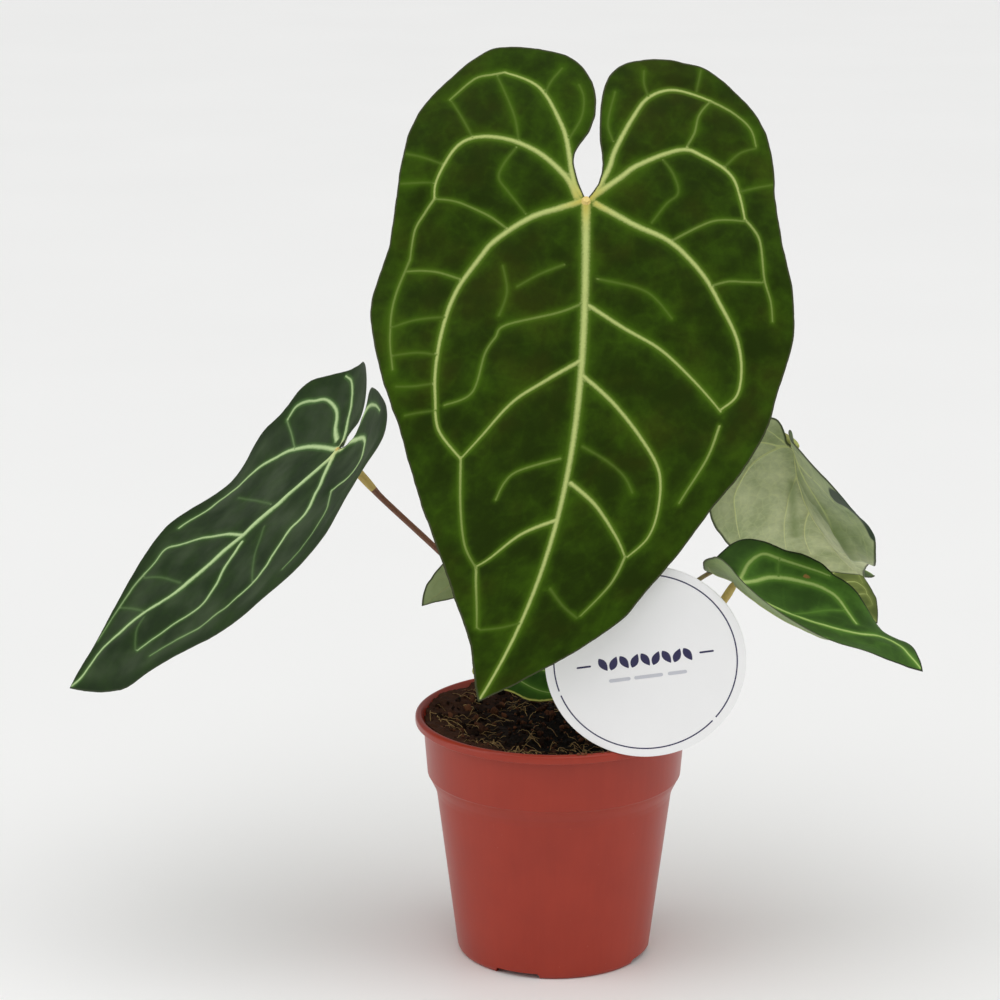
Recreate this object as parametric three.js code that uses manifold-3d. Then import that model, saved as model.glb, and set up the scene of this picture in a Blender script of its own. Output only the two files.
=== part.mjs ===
// A potted anthurium: seven heart-shaped leaves on slim petioles that grow from one crown,
// in the soil of a thin nursery pot, with a round plant label on a stick.
// Millimetres, +Z up. The pot's foot stands on z = 0, and the front of the plant faces -Y.
import * as THREE from "three";
import Module from "manifold-3d";
import { mergeVertices } from "three/addons/utils/BufferGeometryUtils.js";

const wasm = await Module();
wasm.setup();

// Clearance between pieces that touch on the real plant
const GAP = 0.3;

// Pot, a 12 cm nursery pot
const POT_HEIGHT = 107;
const POT_RIM_RADIUS = 60;
const POT_BASE_RADIUS = 42;
const POT_WALL = 1.2;
const LIP_HEIGHT = 4;
const LIP_WIDTH = 2.7;
const BAND_TOP_RADIUS = 56.6;
const BAND_LOW_RADIUS = 54.8;
const BAND_LOW = 81;
const SHOULDER_LOW = 72;
const SHOULDER_RADIUS = 50.9;
const FOOT_WIDTH = 3;
const FLOOR_UNDERSIDE = 3;
const PAD_RADIUS = 9;
const HOLE_RADIUS = 4;
const HOLE_RING_RADIUS = 25;
const HOLE_COUNT = 6;
const NOTCH_WIDTH = 20;
const NOTCH_HEIGHT = 2.4;
const NOTCH_COUNT = 4;
const NOTCH_TURN = THREE.MathUtils.degToRad(-112);
const POT_SIDES = 72;

// Soil and crown
const SOIL_LEVEL = 101;
const SOIL_RIPPLE = 1.6;
const SOIL_RINGS = 9;
const SOIL_SIDES = 48;
const MOUND_HEIGHT = 4;
const MOUND_SPREAD = 20;
const CROWN_X = 16;
const CROWN_Y = 8;
const CROWN_BOTTOM = 84;
const CROWN_TOP = 113;
const CROWN_RADIUS = 10.5;
const SOCKET_RING_RADIUS = 6.2;
const SOCKET_DEPTH = 20;

// Label, a round disc that hangs in front of the pot's lip on a bent stick
const LABEL_RADIUS = 41.5;
const LABEL_THICKNESS = 0.8;
const LABEL_CENTRE = new THREE.Vector3(37.6, -55, 146.6);
const LABEL_LEAN = THREE.MathUtils.degToRad(1.5);
const STICK_WIDTH = 5;
const STICK_THICKNESS = 1.6;
const STICK_X = 30;
const STICK_TOP = 165;

// Blades
const BLADE_THICKNESS = 0.8;
const HALF_WIDTH_SHARE = 0.42;
const LOBE_SHARE = 0.33;
const WAVE_START = -0.3;
const WAVE_STEP = 0.22;

// Half outlines of a blade 206 mm long from junction to tip, as [along the midrib, across].
// Each starts at the top of its basal lobe. The outer edge runs round to the tip, and the
// inner edge runs down the sinus to the junction.
const OUTLINE_LENGTH = 206;
const RIGHT_OUTER = [
  [-70, 32], [-69, 40], [-65, 47], [-57, 56], [-44, 68], [-28, 75], [-3, 79],
  [17, 82], [40, 89], [57, 87], [76, 81], [93, 73], [113, 64], [131, 54],
  [149, 42], [167, 29], [182, 17], [197, 7], [206, 0],
];
const RIGHT_INNER = [[-70, 32], [-68, 18], [-63, 5], [-53, -2], [-42, -4], [-32, -2], [-20, 5], [-10, 4], [0, 0]];
const LEFT_OUTER = [
  [-64, 30], [-63, 40], [-60, 51], [-49, 64], [-38, 73], [-22, 78], [-3, 79],
  [17, 82], [36, 86], [57, 87], [78, 82], [94, 79], [112, 71], [127, 62],
  [146, 53], [160, 46], [173, 40], [185, 28], [197, 13], [206, 0],
];
const LEFT_INNER = [[-64, 30], [-62, 18], [-56, 10], [-47, 7], [-36, 6], [-26, 6], [-16, 7], [-7, 5], [0, 0]];

// One entry a leaf. The blade leaves its junction along heading (0 is +X, 90 is +Y) at an angle
// of dip below the horizontal, turned about the midrib by roll. Over its length it bends down
// by bend and turns by twist, and its lobes bend by lobeBend. sway and bow carry the midrib
// sideways, in mm. Each half has its own width and lobe length as shares of the outline's. It
// leaves the midrib at an angle of fold and curls up by curl over half a blade's width, a share
// fade of which is lost towards the tip. Its waves lift or lower the margin, in mm, at even steps
// from the lobe to the tip. The petiole's path is from the geniculum down to its socket in the
// crown, which lies at the angle socket on the crown's top. Angles are in degrees.
const LEAVES = [
  {
    name: "front_large",
    junction: [12.2, -12, 331.4],
    length: 206,
    heading: 270, dip: 66, roll: 0,
    bend: 10, lobeBend: 14, twist: 0,
    sway: 43, bow: 0, fade: 0,
    right: { width: 1, lobe: 1, fold: 0, curl: -14, waves: [0, 3, -2, 3, -3, 3, 0] },
    left: { width: 1, lobe: 1, fold: 0, curl: -14, waves: [0, -2, 3, -1, 5, 6, 0] },
    rows: 22, columns: 6,
    geniculum: { end: [11.5, 0, 321], radius: 3 },
    petiole: { path: [[10, 10, 304], [11, 20, 265], [14, 20, 190], [15, 15, 132]], socket: 90, radius: 2.2 },
  },
  {
    name: "left",
    junction: [-92.8, 10, 220.4],
    length: 155,
    heading: 186.6, dip: 43.2, roll: 2.5,
    bend: -5, lobeBend: -75, twist: 19,
    sway: -3, bow: 4.5, fade: 0,
    right: { width: 1, lobe: 0.66, fold: -3, curl: 15, waves: [-6, 17, 5, -7, 5, 4, -4] },
    left: { width: 1, lobe: 0.72, fold: -9, curl: 5, waves: [-16, 7, 3, 4, 6, 12, -7] },
    rows: 20, columns: 6,
    geniculum: { end: [-77.9, 12, 202.7], radius: 1.9 },
    petiole: { path: [[-48, 8, 174.6], [-20, 6, 147], [2, 7, 125]], socket: 180, radius: 1.3 },
  },
  {
    name: "right_rear",
    junction: [103.7, 20, 219.7],
    length: 98,
    heading: 56, dip: 48.5, roll: 20,
    bend: 0, lobeBend: -60, twist: 14,
    sway: 4.4, bow: -8, fade: 0,
    right: { width: 1.15, lobe: 0.38, fold: -81, curl: 67, waves: [-8, -11, -6, -12, 0, 9, 2] },
    left: { width: 1.04, lobe: 0.6, fold: 12, curl: -31, waves: [0, 0, 3, -5, -5, 4, 3] },
    rows: 16, columns: 5,
    geniculum: { end: [98, 29, 223], radius: 1.9 },
    petiole: { path: [[88, 31, 229], [62, 30, 237], [40, 22, 218], [25, 14, 165]], socket: 40, radius: 1.3 },
  },
  {
    name: "right_front",
    junction: [75.5, -34, 175.5],
    length: 86,
    heading: -17, dip: 20, roll: 47,
    bend: -3, lobeBend: 26, twist: -40,
    sway: 20, bow: -15, fade: 1,
    right: { width: 0.98, lobe: 0.5, fold: -34, curl: 70, waves: [1, -11, -12, -8, 0, 15, 9] },
    left: { width: 0.98, lobe: 0.5, fold: 23, curl: 45, waves: [8, 17, 13, 8, 1, -22, 1] },
    rows: 18, columns: 6,
    geniculum: { end: [69, -35, 165], radius: 1.7 },
    petiole: { path: [[57, -29, 148], [38, -12, 128]], socket: -35, radius: 1.3 },
  },
  {
    name: "small_left",
    junction: [-20, 26, 174],
    length: 46,
    heading: 184, dip: 30, roll: -60,
    bend: 14, lobeBend: 20, twist: 0,
    sway: 0, bow: 0, fade: 0,
    right: { width: 0.9, lobe: 0.8, fold: 8, curl: -20, waves: [0, 0, 1, -1, 1, 0, 0] },
    left: { width: 0.9, lobe: 0.8, fold: 8, curl: -20, waves: [0, 0, -1, 1, -1, 0, 0] },
    rows: 12, columns: 4,
    geniculum: { end: [-16, 20, 167], radius: 1.4 },
    petiole: { path: [[-8, 17, 152], [5, 14, 128]], socket: 135, radius: 1 },
  },
  {
    name: "small_right",
    junction: [116, 80, 151],
    length: 41,
    heading: -4, dip: 38, roll: -40,
    bend: 10, lobeBend: 20, twist: 0,
    sway: 0, bow: 0, fade: 0,
    right: { width: 1.2, lobe: 0.8, fold: 8, curl: -20, waves: [0, 0, 1, -1, 1, 0, 0] },
    left: { width: 1.2, lobe: 0.8, fold: 8, curl: -20, waves: [0, 0, -1, 1, -1, 0, 0] },
    rows: 12, columns: 4,
    geniculum: { end: [110, 78, 146.5], radius: 1.4 },
    petiole: { path: [[99, 70, 146.5], [80, 53, 158], [62, 37, 155], [42, 24, 135]], socket: 5, radius: 1 },
  },
  {
    name: "small_front",
    junction: [-20, -29, 138],
    length: 50,
    heading: -4, dip: 10, roll: -24,
    bend: 12, lobeBend: 20, twist: 0,
    sway: 0, bow: 0, fade: 0,
    right: { width: 0.85, lobe: 0.8, fold: 6, curl: -24, waves: [0, 0, 1, -1, 1, 0, 0] },
    left: { width: 0.85, lobe: 0.8, fold: 6, curl: -24, waves: [0, 0, -1, 1, -1, 0, 0] },
    rows: 12, columns: 4,
    geniculum: { end: [-17, -24, 131], radius: 1.4 },
    petiole: { path: [[-8, -15, 123], [6, -4, 117]], socket: -95, radius: 1 },
  },
];

// Materials, in the photo's colours
const material = (color, roughness) => new THREE.MeshStandardMaterial({ color, roughness, metalness: 0 });
const POT_FINISH = material(0xa23c32, 0.35);
const SOIL_FINISH = material(0x2b1a14, 0.95);
const CROWN_FINISH = material(0x8a7a4e, 0.7);
const BLADE_FINISH = material(0x2c4a1e, 0.6);
const PETIOLE_FINISH = material(0x8f5c46, 0.5);
const GENICULUM_FINISH = material(0xd9c36c, 0.5);
const LABEL_FINISH = material(0xe8e8ea, 0.5);
const STICK_FINISH = material(0xdadada, 0.5);

const root = new THREE.Group();

function addPiece(name, geometry, finish, parent = root) {
  const mesh = new THREE.Mesh(geometry, finish.clone());
  mesh.name = name;
  parent.add(mesh);
  return mesh;
}

// Booleans
function toSolid(geometry) {
  const bare = new THREE.BufferGeometry().setAttribute("position", geometry.getAttribute("position"));
  if (geometry.index) bare.setIndex(geometry.index);
  const merged = mergeVertices(bare, 1e-4);
  return new wasm.Manifold(new wasm.Mesh({
    numProp: 3,
    vertProperties: merged.getAttribute("position").array,
    triVerts: new Uint32Array(merged.index.array),
  }));
}

function toGeometry(solid) {
  const mesh = solid.getMesh();
  const geometry = new THREE.BufferGeometry();
  geometry.setAttribute("position", new THREE.BufferAttribute(new Float32Array(mesh.vertProperties), 3));
  geometry.setIndex(new THREE.BufferAttribute(new Uint32Array(mesh.triVerts), 1));
  geometry.computeVertexNormals();
  return geometry;
}

function cut(geometry, cutters) {
  const solid = cutters.reduce((left, cutter) => left.subtract(toSolid(cutter)), toSolid(geometry));
  return toGeometry(solid);
}

// A lathe about Z from [radius, height] points that run up the outside
function latheZ(points, sides) {
  const profile = points.map(([radius, height]) => new THREE.Vector2(radius, height));
  return new THREE.LatheGeometry(profile, sides).rotateX(Math.PI / 2);
}

function cylinderZ(radius, low, high, sides) {
  return new THREE.CylinderGeometry(radius, radius, high - low, sides)
    .rotateX(Math.PI / 2)
    .translate(0, 0, (low + high) / 2);
}

function tube(curve, radius, steps, sides) {
  const section = new THREE.Shape();
  for (let i = 0; i < sides; i += 1) {
    const angle = (2 * Math.PI * i) / sides;
    const x = radius * Math.cos(angle);
    const y = radius * Math.sin(angle);
    if (i === 0) section.moveTo(x, y);
    else section.lineTo(x, y);
  }
  section.closePath();
  return new THREE.ExtrudeGeometry(section, { steps, extrudePath: curve, bevelEnabled: false });
}

// Pot
const innerRadiusAt = (height) => {
  const share = (height - FLOOR_UNDERSIDE) / (SHOULDER_LOW - FLOOR_UNDERSIDE);
  return THREE.MathUtils.lerp(POT_BASE_RADIUS, SHOULDER_RADIUS, share) - POT_WALL;
};

function potProfile() {
  const lipLow = POT_HEIGHT - LIP_HEIGHT;
  const lipInner = POT_RIM_RADIUS - LIP_WIDTH;
  const floorTop = FLOOR_UNDERSIDE + POT_WALL;
  return [
    [0, 0],
    [PAD_RADIUS, 0],
    [PAD_RADIUS + 1, FLOOR_UNDERSIDE],
    [POT_BASE_RADIUS - FOOT_WIDTH - 1, FLOOR_UNDERSIDE],
    [POT_BASE_RADIUS - FOOT_WIDTH, 0],
    [POT_BASE_RADIUS - 1.6, 0],
    [POT_BASE_RADIUS - 0.4, 0.8],
    [POT_BASE_RADIUS, 2.6],
    [SHOULDER_RADIUS, SHOULDER_LOW],
    [SHOULDER_RADIUS + 0.8, SHOULDER_LOW + 2.6],
    [BAND_LOW_RADIUS - 1, BAND_LOW - 2.4],
    [BAND_LOW_RADIUS, BAND_LOW],
    [BAND_TOP_RADIUS, lipLow],
    [POT_RIM_RADIUS - 0.7, lipLow],
    [POT_RIM_RADIUS, lipLow + 0.8],
    [POT_RIM_RADIUS, POT_HEIGHT - 1.2],
    [POT_RIM_RADIUS - 0.8, POT_HEIGHT - 0.2],
    [POT_RIM_RADIUS - 1.4, POT_HEIGHT],
    [lipInner + 0.6, POT_HEIGHT],
    [lipInner, POT_HEIGHT - 0.6],
    [BAND_TOP_RADIUS - POT_WALL, lipLow],
    [BAND_LOW_RADIUS - POT_WALL, BAND_LOW],
    [BAND_LOW_RADIUS - 1 - POT_WALL, BAND_LOW - 2.4],
    [SHOULDER_RADIUS - POT_WALL, SHOULDER_LOW],
    [innerRadiusAt(floorTop), floorTop],
    [0, floorTop],
  ];
}

function buildPot() {
  const cutters = [];
  for (let i = 0; i < HOLE_COUNT; i += 1) {
    const angle = (2 * Math.PI * i) / HOLE_COUNT;
    const hole = cylinderZ(HOLE_RADIUS, -1, FLOOR_UNDERSIDE + 3, 16);
    cutters.push(hole.translate(HOLE_RING_RADIUS * Math.cos(angle), HOLE_RING_RADIUS * Math.sin(angle), 0));
  }
  for (let i = 0; i < NOTCH_COUNT; i += 1) {
    const notch = new THREE.BoxGeometry(3 * FOOT_WIDTH, NOTCH_WIDTH, 2 * NOTCH_HEIGHT);
    notch.translate(POT_BASE_RADIUS - FOOT_WIDTH / 2, 0, 0);
    cutters.push(notch.rotateZ(NOTCH_TURN + (2 * Math.PI * i) / NOTCH_COUNT));
  }
  addPiece("pot", cut(latheZ(potProfile(), POT_SIDES), cutters), POT_FINISH);
}

// Stems. A geniculum is a spindle that starts just under its blade's junction, and the petiole
// goes on from its end down into the crown.
function geniculumAxis(leaf) {
  const { normal } = bladeFrame(leaf);
  const junction = new THREE.Vector3(...leaf.junction);
  const end = new THREE.Vector3(...leaf.geniculum.end);
  const direction = end.clone().sub(junction).normalize();
  // It leaves from the side of the blade that it points to. Its upper end is square to its
  // axis and not to the blade, so it stands off by its tilt.
  const facing = Math.sign(direction.dot(normal));
  const tilt = Math.sqrt(1 - direction.dot(normal) ** 2);
  const start = junction
    .addScaledVector(normal, facing * (BLADE_THICKNESS / 2 + GAP))
    .addScaledVector(direction, leaf.geniculum.radius * tilt);
  return { start, end, direction: end.clone().sub(start).normalize() };
}

function addGeniculum(leaf) {
  const { start, end, direction } = geniculumAxis(leaf);
  const length = start.distanceTo(end);
  const profile = [[0, 0], [0.75, 0], [1, 0.3], [1, 0.75], [0.85, 1], [0, 1]];
  const points = profile.map(([across, along]) => {
    return new THREE.Vector2(across * leaf.geniculum.radius, along * length);
  });
  const piece = addPiece(`geniculum_${leaf.name}`, new THREE.LatheGeometry(points, 12), GENICULUM_FINISH);
  piece.quaternion.setFromUnitVectors(new THREE.Vector3(0, 1, 0), direction);
  piece.position.copy(start);
}

function socketPoint(leaf, height) {
  const angle = THREE.MathUtils.degToRad(leaf.petiole.socket);
  return new THREE.Vector3(
    CROWN_X + SOCKET_RING_RADIUS * Math.cos(angle),
    CROWN_Y + SOCKET_RING_RADIUS * Math.sin(angle),
    height,
  );
}

function petioleCurve(leaf, extra = 0) {
  const { end, direction } = geniculumAxis(leaf);
  const points = [
    end.clone().addScaledVector(direction, GAP),
    end.clone().addScaledVector(direction, 3 * leaf.petiole.radius),
    ...leaf.petiole.path.map((point) => new THREE.Vector3(...point)),
    socketPoint(leaf, CROWN_TOP - 1),
    socketPoint(leaf, CROWN_TOP - SOCKET_DEPTH - extra),
  ];
  return new THREE.CatmullRomCurve3(points, false, "centripetal");
}

function petioleGeometry(leaf, spare = 0) {
  const steps = 4 * (leaf.petiole.path.length + 2);
  return tube(petioleCurve(leaf, spare), leaf.petiole.radius + spare, steps, 8);
}

// Crown, with a socket for each petiole. Its part in the soil grows by the hole's clearance.
function crownBody(spare, top) {
  const radius = CROWN_RADIUS + spare;
  return latheZ([
    [0, CROWN_BOTTOM - spare],
    [0.7 * radius, CROWN_BOTTOM - spare],
    [radius, SOIL_LEVEL - 3],
    [radius, SOIL_LEVEL + 6],
    ...top,
  ], 32).translate(CROWN_X, CROWN_Y, 0);
}

function buildCrown() {
  const top = [[0.94 * CROWN_RADIUS, CROWN_TOP - 3], [0.8 * CROWN_RADIUS, CROWN_TOP], [0, CROWN_TOP]];
  const sockets = LEAVES.map((leaf) => petioleGeometry(leaf, GAP));
  addPiece("crown", cut(crownBody(0, top), sockets), CROWN_FINISH);
}

// Soil, with an uneven top and plain holes for the crown and the label's stick
const soilHeight = (x, y) => {
  const coarse = Math.sin(0.16 * x + 0.7) * Math.cos(0.13 * y - 0.4);
  const fine = Math.sin(0.41 * x - 0.23 * y) * Math.cos(0.29 * x + 0.37 * y);
  const fromCrown = Math.hypot(x - CROWN_X, y - CROWN_Y) / MOUND_SPREAD;
  const mound = MOUND_HEIGHT * Math.exp(-(fromCrown ** 2));
  return SOIL_LEVEL + SOIL_RIPPLE * (0.6 * coarse + 0.4 * fine) + mound;
};

function soilGeometry() {
  const low = FLOOR_UNDERSIDE + POT_WALL + GAP;
  const bandInner = BAND_LOW_RADIUS - POT_WALL - GAP;
  const top = BAND_TOP_RADIUS - POT_WALL - 2 * GAP;
  const rings = [];
  for (let i = 1; i <= SOIL_RINGS; i += 1) rings.push([(top * i) / SOIL_RINGS, SOIL_LEVEL]);
  const wall = [
    [0, low],
    [innerRadiusAt(low) - GAP, low],
    [SHOULDER_RADIUS - POT_WALL - GAP, SHOULDER_LOW],
    [bandInner - 1, BAND_LOW - 2.4],
    [bandInner, BAND_LOW],
  ];
  const geometry = latheZ([...wall, ...rings.reverse(), [0, SOIL_LEVEL]], SOIL_SIDES);
  const position = geometry.getAttribute("position");
  for (let i = 0; i < position.count; i += 1) {
    if (position.getZ(i) < SOIL_LEVEL - 1) continue;
    position.setZ(i, soilHeight(position.getX(i), position.getY(i)));
  }
  return geometry;
}

// The stick's front line in side view as [y, z] points, from its top down to its tip
function stickLine() {
  const behindDisc = (z) => {
    const back = LABEL_CENTRE.y + LABEL_THICKNESS / 2 + GAP;
    return [back - (z - LABEL_CENTRE.z) * Math.tan(LABEL_LEAN), z];
  };
  return [behindDisc(STICK_TOP), behindDisc(130), [-44.2, 108], [-32, 68]];
}

function stickGeometry(spare = 0) {
  const front = stickLine();
  const outline = [
    ...front.map(([y, z]) => [y - spare, z]),
    [-31, 64 - spare],
    ...front.toReversed().map(([y, z]) => [y + STICK_THICKNESS + spare, z]),
  ];
  const shape = new THREE.Shape(outline.map(([y, z]) => new THREE.Vector2(y, z)));
  const depth = STICK_WIDTH + 2 * spare;
  const geometry = new THREE.ExtrudeGeometry(shape, { depth, steps: 1, bevelEnabled: false });
  // The shape's plane is turned from XY to YZ.
  const turn = new THREE.Matrix4().makeBasis(
    new THREE.Vector3(0, 1, 0),
    new THREE.Vector3(0, 0, 1),
    new THREE.Vector3(1, 0, 0),
  );
  return geometry.applyMatrix4(turn).translate(STICK_X - depth / 2, 0, 0);
}

function buildSoil() {
  const crownHole = crownBody(GAP, [[0, SOIL_LEVEL + 6]]);
  addPiece("soil", cut(soilGeometry(), [crownHole, stickGeometry(GAP)]), SOIL_FINISH);
}

function buildLabel() {
  const disc = new THREE.CylinderGeometry(LABEL_RADIUS, LABEL_RADIUS, LABEL_THICKNESS, 64);
  const label = addPiece("label_disc", disc, LABEL_FINISH);
  label.position.copy(LABEL_CENTRE);
  label.rotation.x = LABEL_LEAN;
  addPiece("label_stick", stickGeometry(), STICK_FINISH);
}

// Blades
const degrees = THREE.MathUtils.degToRad;

// The blade's axes at its junction: along the midrib, across to the right of it, and up
function bladeFrame(leaf) {
  const heading = degrees(leaf.heading);
  const dip = degrees(leaf.dip);
  const roll = degrees(leaf.roll);
  const along = new THREE.Vector3(
    Math.cos(dip) * Math.cos(heading),
    Math.cos(dip) * Math.sin(heading),
    -Math.sin(dip),
  );
  const across = new THREE.Vector3(Math.sin(heading), -Math.cos(heading), 0);
  const normal = across.clone().cross(along).applyAxisAngle(along, -roll);
  return { along, across: across.applyAxisAngle(along, -roll), normal };
}

// A Catmull-Rom line through evenly spaced values
function waveAt(waves, share) {
  const place = THREE.MathUtils.clamp((share - WAVE_START) / WAVE_STEP, 0, waves.length - 1);
  const index = Math.min(Math.floor(place), waves.length - 2);
  const t = place - index;
  const value = (i) => waves[THREE.MathUtils.clamp(i, 0, waves.length - 1)];
  const [a, b, c, d] = [value(index - 1), value(index), value(index + 1), value(index + 2)];
  return 0.5 * (2 * b + (c - a) * t + (2 * a - 5 * b + 4 * c - d) * t * t + (3 * b - a - 3 * c + d) * t ** 3);
}

// A point of the blade's middle surface, l mm along the midrib and w mm across a half
function bladePoint(leaf, frame, half, l, w) {
  const { length } = leaf;
  const share = THREE.MathUtils.clamp(l / length, 0, 1);
  const reach = HALF_WIDTH_SHARE * length;
  const bendRate = l >= 0 ? degrees(leaf.bend) / length : degrees(leaf.lobeBend) / (LOBE_SHARE * length);
  const rate = Math.abs(bendRate) < 1e-9 ? 1e-9 : bendRate;
  const angle = rate * l;
  const midrib = new THREE.Vector3(...leaf.junction)
    .addScaledVector(frame.along, Math.sin(angle) / rate)
    .addScaledVector(frame.normal, -(1 - Math.cos(angle)) / rate);
  const up = frame.along.clone().multiplyScalar(Math.sin(angle)).addScaledVector(frame.normal, Math.cos(angle));
  const twist = degrees(leaf.twist) * (l / length);
  const across = frame.across.clone().multiplyScalar(Math.cos(twist)).addScaledVector(up, Math.sin(twist));
  const normal = up.multiplyScalar(Math.cos(twist)).addScaledVector(frame.across, -Math.sin(twist));
  const fold = degrees(leaf[half].fold);
  const curl = degrees(leaf[half].curl) * (1 - leaf.fade * share * share);
  let out = 0;
  let lift = 0;
  const pieces = 10;
  for (let i = 0; i < pieces; i += 1) {
    const slope = fold + (curl * w * (i + 0.5)) / pieces / reach;
    out += (Math.cos(slope) * w) / pieces;
    lift += (Math.sin(slope) * w) / pieces;
  }
  lift += waveAt(leaf[half].waves, l / length) * (w / reach) ** 2;
  const side = half === "right" ? 1 : -1;
  const shift = leaf.sway * share ** 3 + 4 * leaf.bow * share * (1 - share);
  return midrib.addScaledVector(across, side * out + shift).addScaledVector(normal, lift);
}

function bladeNormal(leaf, frame, half, l, w) {
  const step = 0.5;
  const at = (dl, dw) => bladePoint(leaf, frame, half, l + dl, w + dw);
  const alongL = at(step, 0).sub(at(-step, 0));
  const alongW = at(0, step).sub(at(0, -step));
  const normal = alongW.cross(alongL).normalize();
  return half === "right" ? normal : normal.negate();
}

// An edge of the outline, scaled to a half of the leaf, as a function from l to w
function edgeFunction(leaf, half, points) {
  const size = leaf.length / OUTLINE_LENGTH;
  const { width, lobe } = leaf[half];
  const scaled = points.map(([l, w]) => {
    return new THREE.Vector2(size * l * (l < 0 ? lobe : 1), size * w * width);
  });
  const line = new THREE.SplineCurve(scaled).getPoints(20 * points.length);
  return (l) => {
    const after = line.findIndex((point) => point.x >= l);
    if (after === 0) return line[0].y;
    if (after < 0) return line.at(-1).y;
    const [a, b] = [line[after - 1], line[after]];
    return a.y + ((b.y - a.y) * (l - a.x)) / (b.x - a.x || 1);
  };
}

// The triangles of the middle surface, row by row from each lobe's top to the tip. Both halves
// share the midrib's vertices.
function bladeGrid(leaf) {
  const vertices = [];
  const triangles = [];
  const add = (half, l, w) => vertices.push({ half, l, w }) - 1;
  const lobeRows = Math.round(leaf.rows / 3);
  const midrib = [];
  for (let i = 0; i <= leaf.rows; i += 1) midrib.push(add("both", (leaf.length * i) / leaf.rows, 0));
  const halves = { right: [RIGHT_OUTER, RIGHT_INNER, false], left: [LEFT_OUTER, LEFT_INNER, true] };
  for (const [half, [outer, inner, flipped]] of Object.entries(halves)) {
    const outerAt = edgeFunction(leaf, half, outer);
    const innerAt = edgeFunction(leaf, half, inner);
    const top = (outer[0][0] * leaf[half].lobe * leaf.length) / OUTLINE_LENGTH;
    const rows = [];
    for (let i = 0; i < lobeRows; i += 1) {
      const l = top * Math.cos((Math.PI * i) / (2 * lobeRows));
      const width = outerAt(l) - innerAt(l);
      const row = [];
      for (let j = 0; j <= leaf.columns; j += 1) {
        row.push(i === 0 && j > 0 ? row[0] : add(half, l, innerAt(l) + (width * j) / leaf.columns));
      }
      rows.push(row);
    }
    for (let i = 0; i <= leaf.rows; i += 1) {
      const l = (leaf.length * i) / leaf.rows;
      const row = [midrib[i]];
      for (let j = 1; j <= leaf.columns; j += 1) {
        row.push(i === leaf.rows ? midrib[i] : add(half, l, (outerAt(l) * j) / leaf.columns));
      }
      rows.push(row);
    }
    for (let i = 1; i < rows.length; i += 1) {
      for (let j = 1; j <= leaf.columns; j += 1) {
        const [a, b, c, d] = [rows[i - 1][j - 1], rows[i - 1][j], rows[i][j], rows[i][j - 1]];
        for (const triangle of [[a, b, c], [a, c, d]]) {
          if (new Set(triangle).size < 3) continue;
          triangles.push(flipped ? triangle.reverse() : triangle);
        }
      }
    }
  }
  return { vertices, triangles };
}

// A closed shell: the grid's upper face, its lower face, and a rim along every open edge
function bladeGeometry(leaf) {
  const frame = bladeFrame(leaf);
  const { vertices, triangles } = bladeGrid(leaf);
  const upper = [];
  const lower = [];
  for (const { half, l, w } of vertices) {
    const sides = half === "both" ? ["right", "left"] : [half];
    const point = bladePoint(leaf, frame, sides[0], l, w);
    const normal = new THREE.Vector3();
    for (const side of sides) normal.add(bladeNormal(leaf, frame, side, l, w));
    normal.setLength(BLADE_THICKNESS / 2);
    upper.push(...point.clone().add(normal).toArray());
    lower.push(...point.clone().sub(normal).toArray());
  }
  const count = vertices.length;
  const index = [];
  const openEdges = new Map();
  for (const [a, b, c] of triangles) {
    index.push(a, b, c, a + count, c + count, b + count);
    for (const [from, to] of [[a, b], [b, c], [c, a]]) {
      if (!openEdges.delete(`${to} ${from}`)) openEdges.set(`${from} ${to}`, [from, to]);
    }
  }
  for (const [from, to] of openEdges.values()) {
    index.push(to, from, from + count, to, from + count, to + count);
  }
  const geometry = new THREE.BufferGeometry();
  geometry.setAttribute("position", new THREE.Float32BufferAttribute([...upper, ...lower], 3));
  geometry.setIndex(index);
  geometry.computeVertexNormals();
  return geometry;
}

function buildLeaf(leaf) {
  addPiece(`blade_${leaf.name}`, bladeGeometry(leaf), BLADE_FINISH);
  addGeniculum(leaf);
  addPiece(`petiole_${leaf.name}`, petioleGeometry(leaf), PETIOLE_FINISH);
}

buildPot();
buildSoil();
buildCrown();
buildLabel();
LEAVES.forEach(buildLeaf);

export default root;
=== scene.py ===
"""Looks of a potted anthurium: fine leaves, stalks, nursery pot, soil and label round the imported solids.

Lengths are millimetres in the part's frame, and a mesh is scaled to metres when it is made.
"""

import logging
import math
from dataclasses import dataclass, field
from enum import Enum
from typing import Any, Iterable, Mapping, Sequence

import bmesh
import bpy
import numpy as np
from bpy.types import Material, NodeSocket
from mathutils import Matrix, Vector, noise
from mathutils.geometry import delaunay_2d_cdt


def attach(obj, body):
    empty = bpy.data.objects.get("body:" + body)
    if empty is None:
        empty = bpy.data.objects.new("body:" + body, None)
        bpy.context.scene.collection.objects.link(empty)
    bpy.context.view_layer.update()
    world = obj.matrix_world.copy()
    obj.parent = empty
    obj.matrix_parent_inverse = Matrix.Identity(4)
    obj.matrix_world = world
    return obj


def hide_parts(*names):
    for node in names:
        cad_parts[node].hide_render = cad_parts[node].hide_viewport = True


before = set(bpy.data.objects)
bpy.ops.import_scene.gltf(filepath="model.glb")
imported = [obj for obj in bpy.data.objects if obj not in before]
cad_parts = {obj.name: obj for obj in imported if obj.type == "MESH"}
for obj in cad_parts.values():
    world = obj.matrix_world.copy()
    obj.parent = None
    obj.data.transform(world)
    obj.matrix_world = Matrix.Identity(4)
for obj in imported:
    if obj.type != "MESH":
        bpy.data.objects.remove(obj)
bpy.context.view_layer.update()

METRES = 0.001
ROOT = "root"
CROWN_CENTRE = (16.0, 8.0)
CROWN_TOP = 113.0
SEAT_GAP = 0.3
OUTLINE_LENGTH = 206.0
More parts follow.
